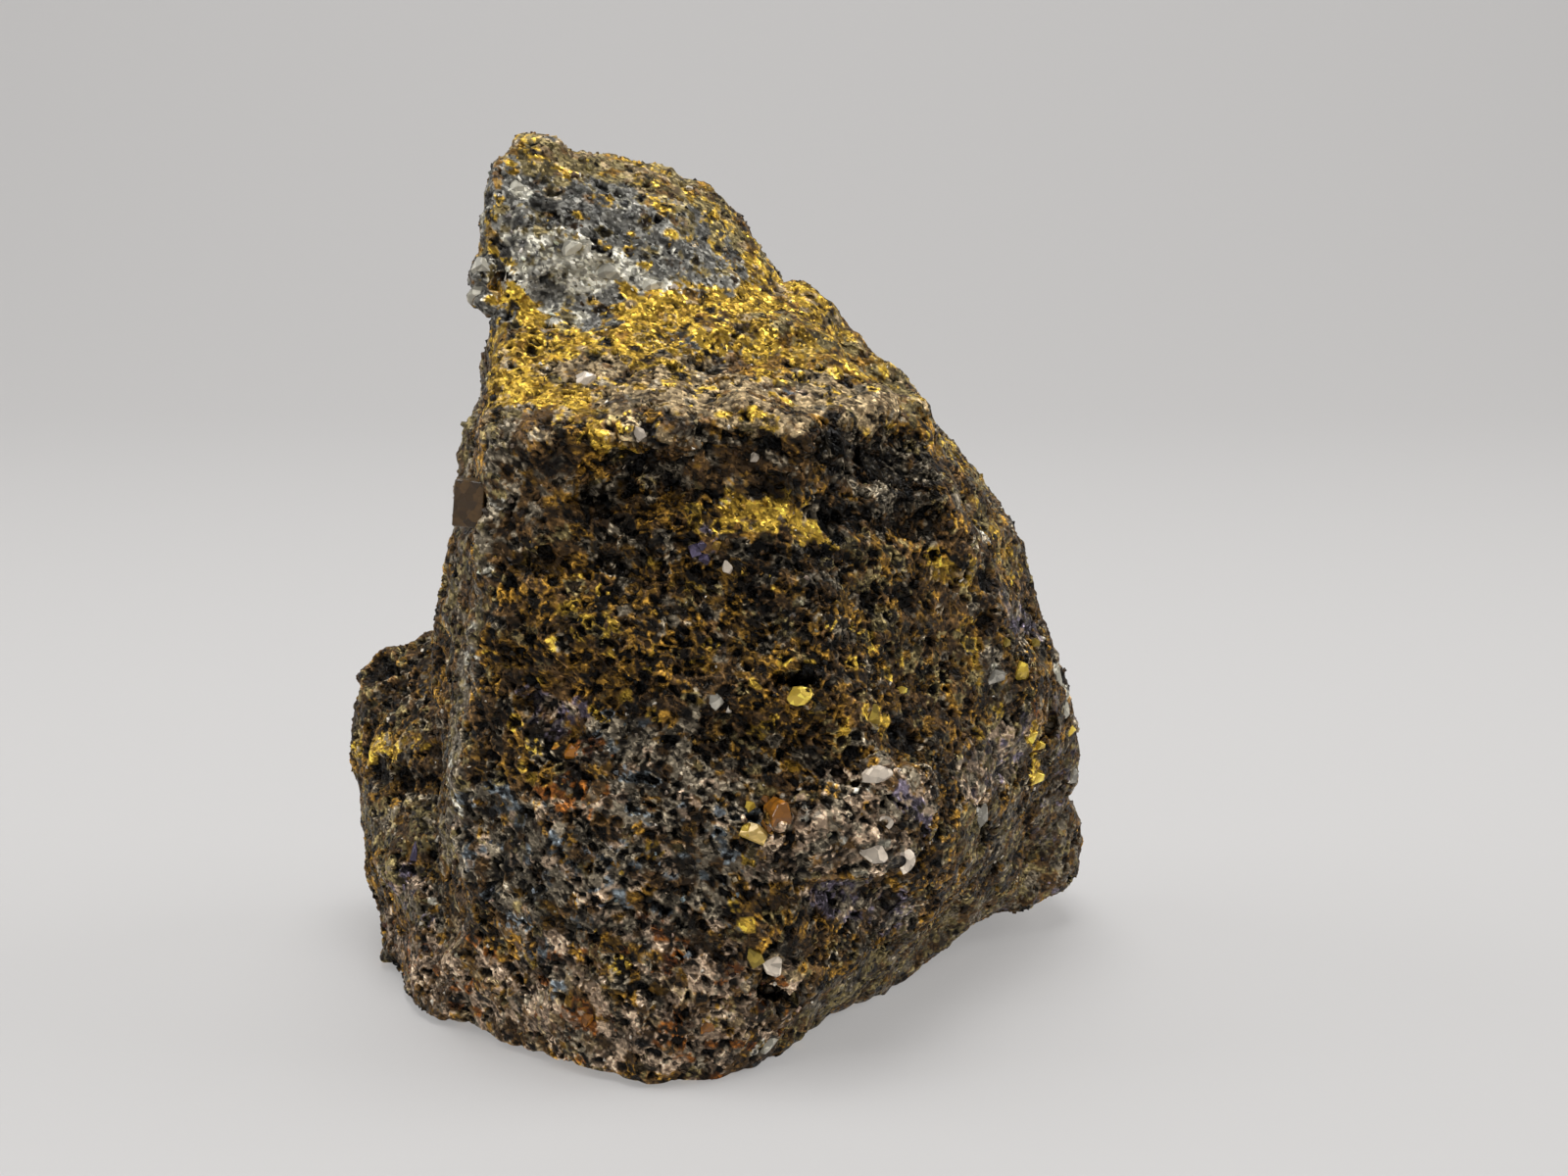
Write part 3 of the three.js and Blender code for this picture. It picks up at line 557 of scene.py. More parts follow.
def groundAt(points):
    # share of each mineral and of open pits at each point, in mm
    columns = [*mineralNames, "pits"]
    recipe = {}
    for name, parts in grounds.items():
        recipe[name] = np.array([parts.get(column, 0) for column in columns])
    mix = np.tile(recipe["netted"], (len(points), 1))
    warped = warpedBy(points, paintBrush)
    for ground, places, reach, strength in paintedStrokes:
        gap = gapTo(warped, places)
        mask = strength * (1 - smoothStep(paintBrush["core"] * reach, paintBrush["fringe"] * reach, gap))
        mix += mask[:, None] * (recipe[ground] - mix)
    shares, pits = mix[:, :-1], mix[:, -1]
    seeds = [paintBrush["clumpSeed"] + n for n in range(len(mineralNames))]
    clumps = [noiseAt(points, paintBrush["clumpAcross"], seed) for seed in seeds]
    shares = shares * np.exp(paintBrush["clumpPull"] * np.stack(clumps, axis=1))
    return shares / shares.sum(axis=1, keepdims=True), pits


def pickMinerals(shares, random):
    passed = shares.cumsum(axis=1) < random.random((len(shares), 1))
    return passed.sum(axis=1).clip(0, len(mineralNames) - 1)


# single crystals by finish: shape, pixel or place in mm with facing, width, height and thickness in pixels,
# turn in degrees, lift in pixels
singleCrystals = {
    "brightGold": [
        ("nugget", 815, 708, 26, 22, 18, 20, 5), ("nugget", 1043, 683, 22, 24, 20, -15, 6),
        ("chip", 765, 822, 10, 10, 8, 30, 1), ("chip", 922, 704, 10, 8, 8, 10, 0),
        ("chip", 1053, 751, 14, 11, 9, 40, 3), ("chip", 1061, 760, 10, 9, 8, 10, 3),
        ("chip", 1057, 793, 20, 14, 10, 10, 3), ("chip", 762, 846, 14, 10, 8, 60, 1),
    ],
    "oliveGold": [
        ("nugget", 894, 728, 20, 34, 14, -10, 0), ("chip", 770, 977, 14, 20, 8, 25, 1),
        ("chip", 1026, 655, 8, 10, 8, 15, 3), ("chip", 1056, 656, 9, 9, 8, 0, 3),
    ],
    "amber": [
        ("chip", 794, 822, 20, 27, 18, 12, 1), ("chip", 783, 842, 14, 13, 10, 50, 1),
        ("nugget", 781, 815, 12, 12, 10, 70, 1), ("chip", 600, 1040, 16, 12, 10, 35, 0),
        ("chip", 722, 1048, 14, 14, 10, 5, 0), ("chip", 582, 764, 12, 14, 8, 5, 0),
    ],
    "honeyPlate": [("chip", 770, 849, 26, 16, 8, -28, 2)],
    "palePlate": [
        ("flake", 895, 789, 30, 18, 8, 12, 4), ("crescent", 917, 879, 28, 36, 9, -80, 3),
        ("flake", 892, 870, 30, 22, 7, -20, 1), ("crescent", 902, 840, 16, 22, 6, -60, 1),
        ("flake", 788, 984, 26, 20, 6, -50, 2), ("flake", 742, 579, 10, 14, 6, 20, 1),
        ("chip", 598, 386, 20, 15, 10, 10, 2), ("chip", 770, 466, 9, 11, 8, 0, 1),
        ("chip", 652, 441, 10, 14, 8, 30, 1),
    ],
    "silverPlate": [
        ("flake", 1003, 832, 14, 30, 8, -25, 1), ("flake", 997, 826, 8, 16, 6, 30, 1),
        ("chip", 1016, 690, 24, 16, 10, 10, 0), ("chip", 730, 716, 13, 16, 9, 40, 0),
        ("chip", 1096, 790, 12, 24, 10, 0, 0),
    ],
    "violetPlate": [
        ("chip", 709, 562, 10, 12, 8, 20, 1), ("chip", 719, 570, 12, 10, 8, -30, 1),
        ("chip", 716, 557, 8, 8, 6, 50, 1), ("chip", 422, 868, 8, 22, 6, 5, 0),
    ],
    "milkyQuartz": [
        ("nugget", 487, 268, 22, 26, 20, 10, 0), ("nugget", 486, 296, 24, 34, 24, -20, 0),
        ("nugget", 1082, 690, 14, 34, 14, -15, 0), ("nugget", 1090, 722, 12, 26, 12, -10, 0),
        ("chip", 527, 190, 16, 14, 10, 0, 0), ("chip", 583, 252, 22, 14, 10, 20, 0),
        ("chip", 620, 276, 26, 16, 10, -10, 0), ("chip", 664, 290, 24, 12, 10, 10, 0),
        ("nugget", 786, 1066, 26, 20, 14, 30, 0),
    ],
    "brownCube": [("cube", (-12.0, -9.2, 28.6, -0.25, -0.95, 0.1), 32, 46, 40, -4, -8)],
}
# the same on the sides that the picture doesn't show: place in mm, sizes and lift in pixels too
hiddenCrystals = {
    "brightGold": [
        ("nugget", (5.5, 15, 13), 24, 22, 16, 20, 1), ("chip", (-9, 13, 21), 14, 12, 8, 50, 1),
        ("chip", (21, 3, 13), 16, 14, 10, 10, 1),
    ],
    "oliveGold": [("nugget", (-17, 9, 12), 22, 30, 14, 30, 0)],
    "amber": [("nugget", (-3, 14, 17), 24, 22, 14, 15, 0)],
    "palePlate": [
        ("flake", (0, 15, 7), 34, 20, 7, 40, 2), ("flake", (9, 12, 21), 24, 16, 6, -30, 2),
        ("crescent", (-6, 15, 9), 20, 26, 8, 70, 2),
    ],
    "silverPlate": [("flake", (15, 10, 10), 16, 28, 7, 10, 1)],
    "violetPlate": [("chip", (12, 12, 8), 12, 12, 8, 30, 1)],
    "milkyQuartz": [
        ("nugget", (-5, 6, 39), 34, 24, 20, 10, 0), ("chip", (-2, 8, 36), 24, 16, 12, 40, 0),
    ],
}
crystalSeating = {
    "viewerPull": 0.8,  # how far a crystal turns from the rock's facing towards the viewer
    "skyward": (0, 0, 0.5),  # and from there towards the light
    "sink": 0.3,  # of its thickness, set into the rock
    "room": (0.5, 0.95),  # of half its size, where the ground round it starts to break up
}


def seatOf(finish, crystal):
    # where a crystal sits, in mm, and which way it faces
    shape, *where, wide, high, thick, turn, lift = crystal
    if len(where) == 1:
        found, facing, _, _ = rockTree.find_nearest(Vector(where[0][:3]) * mm)
        place = found / mm
        if len(where[0]) > 3:
            place, facing = Vector(where[0][:3]), Vector(where[0][3:]).normalized()
        toViewer = facing
    else:
        place, facing = onRock(*where)
        if place is None:
            print("no rock under crystal at", where)
            return None
        toViewer = Vector(crystalSeating["skyward"]) - sightLine(*where)
    ahead = (facing + toViewer * crystalSeating["viewerPull"]).normalized()
    seat = {"finish": finish, "shape": shape, "place": place, "facing": facing, "ahead": ahead}
    return seat | {"size": (wide, high, thick), "turn": turn, "lift": lift}


crystalSeats = []
for table in (singleCrystals, hiddenCrystals):
    for finish, crystals in table.items():
        crystalSeats += [seat for crystal in crystals if (seat := seatOf(finish, crystal))]

# fine relief: crystals and pits, each in a cell of its own
reliefShape = {
    "drawSeed": 5,
    "seed": 51,
    "warpAcross": 0.5,  # mm
    "warpReach": 0.12,
    "cellSeed": 3,
    "cellAcross": 0.5,
    "pitDepth": (0.12, 0.34),
    "grainRise": (-0.05, 0.07),
    "wall": (0.02, 0.36),  # share of the cell over which its side slopes
    "rimRise": 0.03,
    "rimWidth": (0.04, 0.24),
    "voidSeed": 7,
    "voidAcross": 1.7,
    "voidDepth": (0.2, 0.5),
    "voidShare": 0.16,
    "voidWall": (0.05, 0.4),
    "gritSeed": 61,
    "gritAcross": 0.24,
    "gritRise": 0.04,
    "seatRise": -0.1,  # under a single crystal
    "footing": (0.0, 0.9),  # mm above the resting plane, where the relief begins and where it is full
    "rimBlack": 0.15,  # of the cell's share of black, left in its rim
    "contrast": 1.4,  # the higher, the fewer cells are bright
    "rimBrightness": (0.3, 0.8),  # the least, and how much more by chance
    "pitBottomPaintedShade": 0.06,  # of the mineral's tone left at the bottom of a pit, as painted shade
    "pitPaintedShadeRange": (0.1, 0.7),  # of the deepest pit, where the painted shade starts and where it is darkest
    "voidPaintedShadeRange": (0.1, 0.5),  # mm, the same painted shade for the voids
    "hollowRounds": 8,
    "hollowReach": 0.14,  # mm below its surroundings where the painted shade on the body is darkest
    "hollowRange": (0.1, 1),  # of that depth, where the painted shade, and on crests the painted highlight, starts and where it is full
    # painted shade in the hollows of the relief and painted highlight on its crests
    "concavePaintedShade": 0.2,
    "crestPaintedHighlight": 1.8,
    "patchSeed": 71,
    "patchAcross": 1.5,
    "patchRange": (-0.6, 0.6),
    "patchShade": (0.42, 1.3),
    "calm": (0.3, 0.4),  # least share of the painted shade and highlight and of the patches, and the share of pits where all of it shows
}


def cellsAt(points, across, seed):
    # how far each point is from the wall of its cell, and the cell's number
    shift = seedStep * seed
    found = [noise.voronoi(Vector(p) / across + shift) for p in points]
    wall = np.array([distances[1] - distances[0] for distances, _ in found])
    middles = np.array([places[0] for _, places in found])
    _, owner = np.unique(np.round(middles * 1e4).astype(np.int64), axis=0, return_inverse=True)
    return wall, owner.ravel()


def middlesOf(owner, points):
    # the middle of each cell's own points
    count = np.bincount(owner)
    return np.stack([np.bincount(owner, points[:, axis]) / count for axis in range(3)], axis=1)


def setAttribute(mesh, name, values):
    kind = "FLOAT" if values.ndim == 1 else "FLOAT_COLOR"
    attribute = mesh.attributes.new(name, kind, "POINT")
    if values.ndim == 1:
        attribute.data.foreach_set("value", values.astype(np.float32))
    else:
        full = np.concatenate([values, np.ones((len(values), 1))], axis=1)
        attribute.data.foreach_set("color", full.astype(np.float32).ravel())


def hollowOf(mesh, points, rounds):
    # how far each point lies below the mean of its surroundings
    edges = np.empty(len(mesh.edges) * 2, np.int32)
    mesh.edges.foreach_get("vertices", edges)
    first, second = edges.reshape(-1, 2).T
    degree = np.bincount(edges, minlength=len(points))[:, None]
    mean = points.copy()
    for _ in range(rounds):
        total = np.zeros_like(mean)
        for axis in range(3):
            total[:, axis] += np.bincount(first, mean[second, axis], len(points))
            total[:, axis] += np.bincount(second, mean[first, axis], len(points))
        mean = total / degree
    return ((mean - points) * readPoints(mesh, "normal")).sum(axis=1)


def shareOf(low, high, shares):
    return low + (high - low) * shares


def toneOf(mineral, brightness):
    return shareOf(darkTones[mineral], lightTones[mineral], brightness[:, None])


def writeRelief(body, spec):
    random = np.random.default_rng(spec["drawSeed"])
    points = readPoints(body.data) / mm
    normals = readPoints(body.data, "normal")
    warped = alongGrain(warpedBy(points, spec))
    wall, owner = cellsAt(warped, spec["cellAcross"], spec["cellSeed"])
    middles = middlesOf(owner, points)
    print("cells:", len(middles))
    shares, pits = groundAt(middles)
    count = len(middles)
    isPit = random.random(count) < pits
    level = shareOf(*spec["grainRise"], random.random(count))
    level[isPit] = -shareOf(*spec["pitDepth"], random.random(isPit.sum()))
    inner = pickMinerals(shares, random)
    rimShares = shares * np.where(np.array(mineralNames) == "black", spec["rimBlack"], 1.0)
    rim = pickMinerals(rimShares / rimShares.sum(axis=1, keepdims=True), random)
    voidWall, voidOwner = cellsAt(warped, spec["voidAcross"], spec["voidSeed"])
    voidMiddles = middlesOf(voidOwner, points)
    _, voidPits = groundAt(voidMiddles)
    isVoid = random.random(len(voidMiddles)) < voidPits * spec["voidShare"]
    voidDepth = isVoid * shareOf(*spec["voidDepth"], random.random(len(voidMiddles)))
    sink = voidDepth[voidOwner] * smoothStep(*spec["voidWall"], voidWall)
    rimMask = 1 - smoothStep(*spec["rimWidth"], wall)
    rise = level[owner] * smoothStep(*spec["wall"], wall) + spec["rimRise"] * rimMask - sink
    rise += spec["gritRise"] * noiseAt(points, spec["gritAcross"], spec["gritSeed"])
    for seat in crystalSeats:
        place = alongGrain(np.array([seat["place"]]))
        gap = np.linalg.norm(warped - place, axis=1) * 2 * pixelsPerMm / max(seat["size"])
        rise = shareOf(spec["seatRise"], rise, smoothStep(*crystalSeating["room"], gap))
    rise *= smoothStep(*spec["footing"], points[:, 2])
    points += normals * rise[:, None]
    points[:, 2] = np.maximum(points[:, 2], 0.0)
    writePoints(body.data, points * mm)

    brightness = random.random(count) ** spec["contrast"]
    innerTone = toneOf(inner, brightness)
    least, more = spec["rimBrightness"]
    rimTone = toneOf(rim, least + more * random.random(count))
    # painted shade: the bottoms of pits and voids are darkened the deeper they are
    depth = np.clip(-level / spec["pitDepth"][1], 0, 1)
    innerTone *= shareOf(1, spec["pitBottomPaintedShade"], smoothStep(*spec["pitPaintedShadeRange"], depth))[:, None]
    tone = shareOf(innerTone[owner], rimTone[owner], rimMask[:, None])
    tone *= shareOf(1, spec["pitBottomPaintedShade"], smoothStep(*spec["voidPaintedShadeRange"], sink))[:, None]
    # painted shade in the hollows of the relief and painted highlight on its crests
    hollow = hollowOf(body.data, points, spec["hollowRounds"]) / spec["hollowReach"]
    fewest, full = spec["calm"]
    broken = np.clip(pits / full, fewest, 1)
    for paintedShading, side in ((spec["concavePaintedShade"], hollow), (spec["crestPaintedHighlight"], -hollow)):
        tone *= shareOf(1, paintedShading, broken[owner] * smoothStep(*spec["hollowRange"], side))[:, None]
    patchNoise = noiseAt(middles, spec["patchAcross"], spec["patchSeed"])
    patches = shareOf(*spec["patchShade"], smoothStep(*spec["patchRange"], patchNoise))
    tone *= shareOf(1, patches, broken)[owner][:, None]
    setAttribute(body.data, "pores", pits[owner])
    # the tone holds the minerals' colours with the painted shade and painted highlight in them
    setAttribute(body.data, "tone", tone)
    setAttribute(body.data, "metal", shareOf(metalOf[inner[owner]], metalOf[rim[owner]], rimMask))
    setAttribute(body.data, "rough", shareOf(roughOf[inner[owner]], roughOf[rim[owner]], rimMask))
    return points, rise, pits[owner]


bodyPoints, bodyRise, bodyPores = writeRelief(oreBody, reliefShape)
print("relief written:", len(paintedStrokes), "strokes of ground")

# the body is split into bands, so that no piece has too many faces
bandNames = ("oreFoot", "oreWaist", "oreShoulder", "oreCrown")


def facesOf(mesh):
    corners = np.empty(len(mesh.loops), np.int32)
    mesh.loops.foreach_get("vertex_index", corners)
    return corners.reshape(-1, 3)


def meshFromArrays(name, corners, faces, uv):
    mesh = bpy.data.meshes.new(name)
    mesh.vertices.add(len(corners))
    mesh.vertices.foreach_set("co", (corners * mm).astype(np.float32).ravel())
    mesh.loops.add(faces.size)
    mesh.loops.foreach_set("vertex_index", faces.astype(np.int32).ravel())
    mesh.polygons.add(len(faces))
    mesh.polygons.foreach_set("loop_start", np.arange(0, faces.size, 3, dtype=np.int32))
    mesh.uv_layers.new(name="OFBake")
    mesh.uv_layers[0].data.foreach_set("uv", uv.astype(np.float32).ravel())
    mesh.update(calc_edges=True)
    piece = bpy.data.objects.new(name, mesh)
    bpy.context.scene.collection.objects.link(piece)
    return piece


def readAttribute(mesh, name, width):
    flat = np.empty(len(mesh.vertices) * width, np.float32)
    mesh.attributes[name].data.foreach_get("color" if width > 1 else "value", flat)
    return flat.reshape(-1, width)[:, :3] if width > 1 else flat


def splitIntoBands(body, names):
    faces = facesOf(body.data)
    uv = np.empty(len(body.data.loops) * 2, np.float32)
    body.data.uv_layers[0].data.foreach_get("uv", uv)
    uv = uv.reshape(-1, 3, 2)
    heights = bodyPoints[faces, 2].mean(axis=1)
    widths = {"tone": 4, "metal": 1, "rough": 1, "pores": 1}
    values = {name: readAttribute(body.data, name, width) for name, width in widths.items()}
    bands = []
    for name, mine in zip(names, np.array_split(np.argsort(heights, kind="stable"), len(names))):
        # the open edges are closed towards a point inside the rock
        band = faces[mine]
        edges = np.concatenate([band[:, [0, 1]], band[:, [1, 2]], band[:, [2, 0]]])
        keys = {(a, b) for a, b in edges.tolist()}
        rim = np.array([(a, b) for a, b in keys if (b, a) not in keys])
        rim = rim[np.lexsort((rim[:, 1], rim[:, 0]))]
        used, band = np.unique(band, return_inverse=True)
        band = band.reshape(-1, 3)
        isLow = bodyPoints[rim[:, 0], 2] < (heights[mine].min() + heights[mine].max()) / 2
        corners, closing, owners = bodyPoints[used], [], used
        for share in (rim[isLow], rim[~isLow]):
            if len(share):
                middle = bodyPoints[share[:, 0]].mean(axis=0)
                corners = np.vstack([corners, middle])
                owners = np.append(owners, share[0, 0])
                place = np.searchsorted(used, share)
                hub = np.full(len(share), len(corners) - 1)
                closing.append(np.stack([place[:, 1], place[:, 0], hub], axis=1))
        closing = np.concatenate(closing)
        bandUv = np.concatenate([uv[mine], np.zeros((len(closing), 3, 2))])
        piece = meshFromArrays(name, corners, np.concatenate([band, closing]), bandUv)
        for key, value in values.items():
            setAttribute(piece.data, key, value[owners])
        bands.append(piece)
        print(name, len(piece.data.polygons), "faces")
    return bands


bodyFaces = facesOf(oreBody.data)
oreBands = splitIntoBands(oreBody, bandNames)
bpy.data.objects.remove(oreBody)

# loose-looking chips that stick to the body
grainField = {
    "drawSeed": 20,
    "paintedGlints": 0.02,  # share of the grains painted white as glints
    "paintedGlintColour": (0.94, 0.90, 0.83),
    "tries": 200000,
    "spacing": (0.25, 0.37),  # mm between neighbours, where grains are small and where they are large
    "netSparing": 1.15,  # how much further apart they are where the ground is all pits
    "sizeSeed": 83,
    "sizeAcross": 2.2,  # mm, how fast the grain size changes
    "sizeRange": (-0.7, 0.9),
    "spacingDrift": (0.85, 1.2),
    "radius": 0.40,  # of the spacing
    "radiusDrift": (0.7, 1.2),
    "stretch": (0.5, 1.5),
    "lift": (-1.0, -0.45),  # of the radius, above the body's surface
    "lowestRise": -0.08,  # mm; deeper places stay bare
    "floorGap": 1.1,  # mm above the resting plane
    "crystalGap": 0.95,  # of half a crystal's size, kept free round it
    "contrast": 1.3,  # the higher, the fewer grains are bright
    "tint": (0.94, 1.06),
    "roughDrift": 0.14,
    "leastRough": 0.12,
    "pieces": ("grainsFront", "grainsRight", "grainsLeft"),
}


def cutByPlanes(planes, triangles=False):
    # cuts the active object
    bpy.ops.object.mode_set(mode="EDIT")
    for place, facing in planes:
        bpy.ops.mesh.select_all(action="SELECT")
        bpy.ops.mesh.bisect(plane_co=place, plane_no=facing, use_fill=True, clear_outer=True)
    bpy.ops.mesh.select_all(action="SELECT")
    if triangles:
        bpy.ops.mesh.quads_convert_to_tris()
    bpy.ops.mesh.normals_make_consistent(inside=False)
    bpy.ops.object.mode_set(mode="OBJECT")


def makeGrainShape(name, planes):
    bpy.ops.mesh.primitive_cube_add(size=1.7)
    chip = bpy.context.object
    chip.name = name
    cutByPlanes(planes, triangles=True)
    corners = readPoints(chip.data)
    faces = facesOf(chip.data)
    mesh = chip.data
    bpy.data.objects.remove(chip)
    bpy.data.meshes.remove(mesh)
    return corners, faces


# the planes that cut each grain from a cube: a place and the way to the side that goes
grainPlanes = {
    "blockGrain": [((0.6, 0.6, 0.3), (1, 1, 0.5))],
    "wedgeGrain": [((0.2, 0, 0.3), (1, 0.3, 0.9)), ((-0.4, -0.4, 0), (-1, -0.8, 0.2))],
    "flakeGrain": [((0, 0, 0.3), (0.1, 0, 1)), ((0, 0, -0.3), (0, 0.2, -1)), ((0.5, 0.5, 0), (1, 1, 0))],
    "peakGrain": [((0.3, 0, 0.5), (1, 0, 0.7)), ((-0.3, 0, 0.5), (-1, 0.1, 0.7))],
}
grainShapes = [makeGrainShape(name, planes) for name, planes in grainPlanes.items()]
print("grain shapes cut:", [len(faces) for _, faces in grainShapes])


def scatterPlaces(spec, random):
    # places on the body that keep their distance from each other
    a, b, c = (bodyPoints[bodyFaces[:, n]] for n in range(3))
    across = np.cross(b - a, c - a)
    areas = np.linalg.norm(across, axis=1)
    picked = random.choice(len(bodyFaces), spec["tries"], p=areas / areas.sum())
    u, v = random.random((2, spec["tries"]))
    flip = u + v > 1
    u[flip], v[flip] = 1 - u[flip], 1 - v[flip]
    places = a[picked] + u[:, None] * (b - a)[picked] + v[:, None] * (c - a)[picked]
    facing = across[picked] / areas[picked][:, None]
    proud = (bodyRise[bodyFaces[picked, 0]] > spec["lowestRise"]) & (places[:, 2] > spec["floorGap"])
    for seat in crystalSeats:
        gap = np.linalg.norm(places - np.array(seat["place"]), axis=1) * 2 * pixelsPerMm
        proud &= gap > spec["crystalGap"] * max(seat["size"])
    places, facing = places[proud], facing[proud]
    sizeNoise = noiseAt(places, spec["sizeAcross"], spec["sizeSeed"])
    spread = shareOf(*spec["spacing"], smoothStep(*spec["sizeRange"], sizeNoise))
    spread *= random.uniform(*spec["spacingDrift"], len(places))
    radius = spread.copy()
    spread *= 1 + spec["netSparing"] * bodyPores[bodyFaces[picked[proud], 0]]
    widest = spread.max()
    kept, cells = [], {}
    for n, (x, y, z) in enumerate(places):
        cell = (int(x // widest), int(y // widest), int(z // widest))
        near = spread[n] ** 2
        if all(
            (x - px) ** 2 + (y - py) ** 2 + (z - pz) ** 2 > near
            for i in (-1, 0, 1)
            for j in (-1, 0, 1)
            for k in (-1, 0, 1)
            for px, py, pz in cells.get((cell[0] + i, cell[1] + j, cell[2] + k), ())
        ):
            cells.setdefault(cell, []).append((x, y, z))
            kept.append(n)
    return places[kept], facing[kept], radius[kept]


def randomTurns(random, count):
    # rotation matrices from random quaternions
    quaternions = random.normal(size=(4, count))
    w, x, y, z = quaternions / np.linalg.norm(quaternions, axis=0)
    rows = [
        [1 - 2 * (y * y + z * z), 2 * (x * y - z * w), 2 * (x * z + y * w)],
        [2 * (x * y + z * w), 1 - 2 * (x * x + z * z), 2 * (y * z - x * w)],
        [2 * (x * z - y * w), 2 * (y * z + x * w), 1 - 2 * (x * x + y * y)],
    ]
    return np.array(rows).transpose(2, 0, 1)


def tiledMap(count, inset=0.12):
    # each face gets a small tile of its own
    rows = math.ceil(math.sqrt(count))
    tile = np.stack([np.arange(count) % rows, np.arange(count) // rows], axis=1)
    corner = np.array([(inset, inset), (1 - inset, inset), (inset, 1 - inset)])
    return (tile[:, None, :] + corner[None]) / rows


def growGrains(name, places, facing, spread, shares, spec, random):
    kinds = random.integers(len(grainShapes), size=len(places))
    mineral = pickMinerals(shares, random)
    tone = toneOf(mineral, random.random(len(places)) ** spec["contrast"])
    tone *= random.uniform(*spec["tint"], (len(places), 3))
    # painted glints: a few grains are coloured white
    tone[random.random(len(places)) < spec["paintedGlints"]] = linearColour(spec["paintedGlintColour"])
    drift = random.uniform(-spec["roughDrift"], spec["roughDrift"], len(places))
    rough = np.clip(roughOf[mineral] + drift, spec["leastRough"], 1)
    allCorners, allFaces, owners, start = [], [], [], 0
    for kind, (corners, faces) in enumerate(grainShapes):
        mine = np.flatnonzero(kinds == kind)
        radius = spread[mine] * spec["radius"] * random.uniform(*spec["radiusDrift"], len(mine))
        stretch = random.uniform(*spec["stretch"], (len(mine), 1, 3)) * radius[:, None, None]
        turned = np.einsum("nij,nvj->nvi", randomTurns(random, len(mine)), corners[None] * stretch)
        lift = random.uniform(*spec["lift"], len(mine)) * radius
        placed = turned + (places[mine] + facing[mine] * lift[:, None])[:, None, :]
        allCorners.append(placed.reshape(-1, 3))
        offsets = start + np.arange(len(mine))[:, None, None] * len(corners)
        allFaces.append((faces[None] + offsets).reshape(-1, 3))
        owners.append(np.repeat(mine, len(corners)))
        start += len(mine) * len(corners)
    corners, faces, owner = np.concatenate(allCorners), np.concatenate(allFaces), np.concatenate(owners)
    corners[:, 2] = np.maximum(corners[:, 2], 0.0)
    piece = meshFromArrays(name, corners, faces, tiledMap(len(faces)))
    setAttribute(piece.data, "tone", tone[owner])
    setAttribute(piece.data, "metal", metalOf[mineral][owner])
    setAttribute(piece.data, "rough", rough[owner])
    return piece


def coverWithGrains(spec):
    random = np.random.default_rng(spec["drawSeed"])
    places, facing, spread = scatterPlaces(spec, random)
    shares, _ = groundAt(places)
    angle = np.arctan2(places[:, 0], -places[:, 1])  # 0 is the front, grows to the right
    order = np.argsort((angle + math.pi / 3) % (2 * math.pi))
    pieces = []
    for name, mine in zip(spec["pieces"], np.array_split(order, len(spec["pieces"]))):
        piece = growGrains(name, places[mine], facing[mine], spread[mine], shares[mine], spec, random)
        pieces.append(piece)
        print(name, len(mine), "grains,", len(piece.data.polygons), "faces")
    return pieces


grainPieces = coverWithGrains(grainField)


# crystals modelled one by one: what each shape starts from and the planes that cut it
crystalShapes = {
    "nugget": {
        "start": "ico",
        "planes": [((0.55, 0, 0.3), (1, 0.2, 0.5)), ((-0.6, 0.2, 0), (-1, 0.4, 0.2)),
                   ((0, -0.6, 0.2), (0.2, -1, 0.5)), ((0.1, 0.62, 0.1), (0.2, 1, 0.3)),
                   ((0, 0, 0.66), (-0.2, 0.1, 1))],
        "bevel": 0.05,
    },
    "chip": {
        "start": "cube",
        "planes": [((0.6, 0.6, 0.4), (1, 1, 0.7)), ((-0.5, 0.3, 0.5), (-1, 0.3, 1)),
                   ((0.2, -0.6, 0.5), (0.2, -1, 0.8))],
        "bevel": 0.06,
    },
    "flake": {
        "start": "cube",
        "planes": [((0.7, 0.4, 0), (1, 0.7, 0.1)), ((-0.7, 0.5, 0), (-1, 1.2, 0.2)),
                   ((-0.5, -0.7, 0), (-0.5, -1, 0)), ((0.3, -0.8, 0), (0.6, -1, 0.2)),
                   ((0, 0, 0.7), (0.15, 0.2, 1))],
        "bevel": 0.08,
    },
    "crescent": {
        "start": "ring",
        "planes": [((0, -0.1, 0), (0.2, -1, 0)), ((0, 0, 0.16), (0.1, 0, 1))],
        "bevel": 0.0,
    },
    "cube": {"start": "cube", "planes": [((0.95, 0.97, 0.9), (0.4, 1, 0.5))], "bevel": 0.05},
}


def cutShape(name, spec):
    bpy.ops.object.select_all(action="DESELECT")
    if spec["start"] == "cube":
        bpy.ops.mesh.primitive_cube_add(size=2)
    elif spec["start"] == "ico":
        bpy.ops.mesh.primitive_ico_sphere_add(subdivisions=2, radius=1.1)
    else:
        segments = {"major_segments": 20, "minor_segments": 6}
        bpy.ops.mesh.primitive_torus_add(major_radius=0.72, minor_radius=0.28, **segments)
    shape = bpy.context.object
    shape.name = name
    cutByPlanes(spec["planes"])
    if spec["bevel"]:
        edges = {"limit_method": "ANGLE", "angle_limit": math.radians(25)}
        applyModifier(shape, "BEVEL", width=spec["bevel"], segments=1, **edges)
    applyModifier(shape, "TRIANGULATE")
    return shape


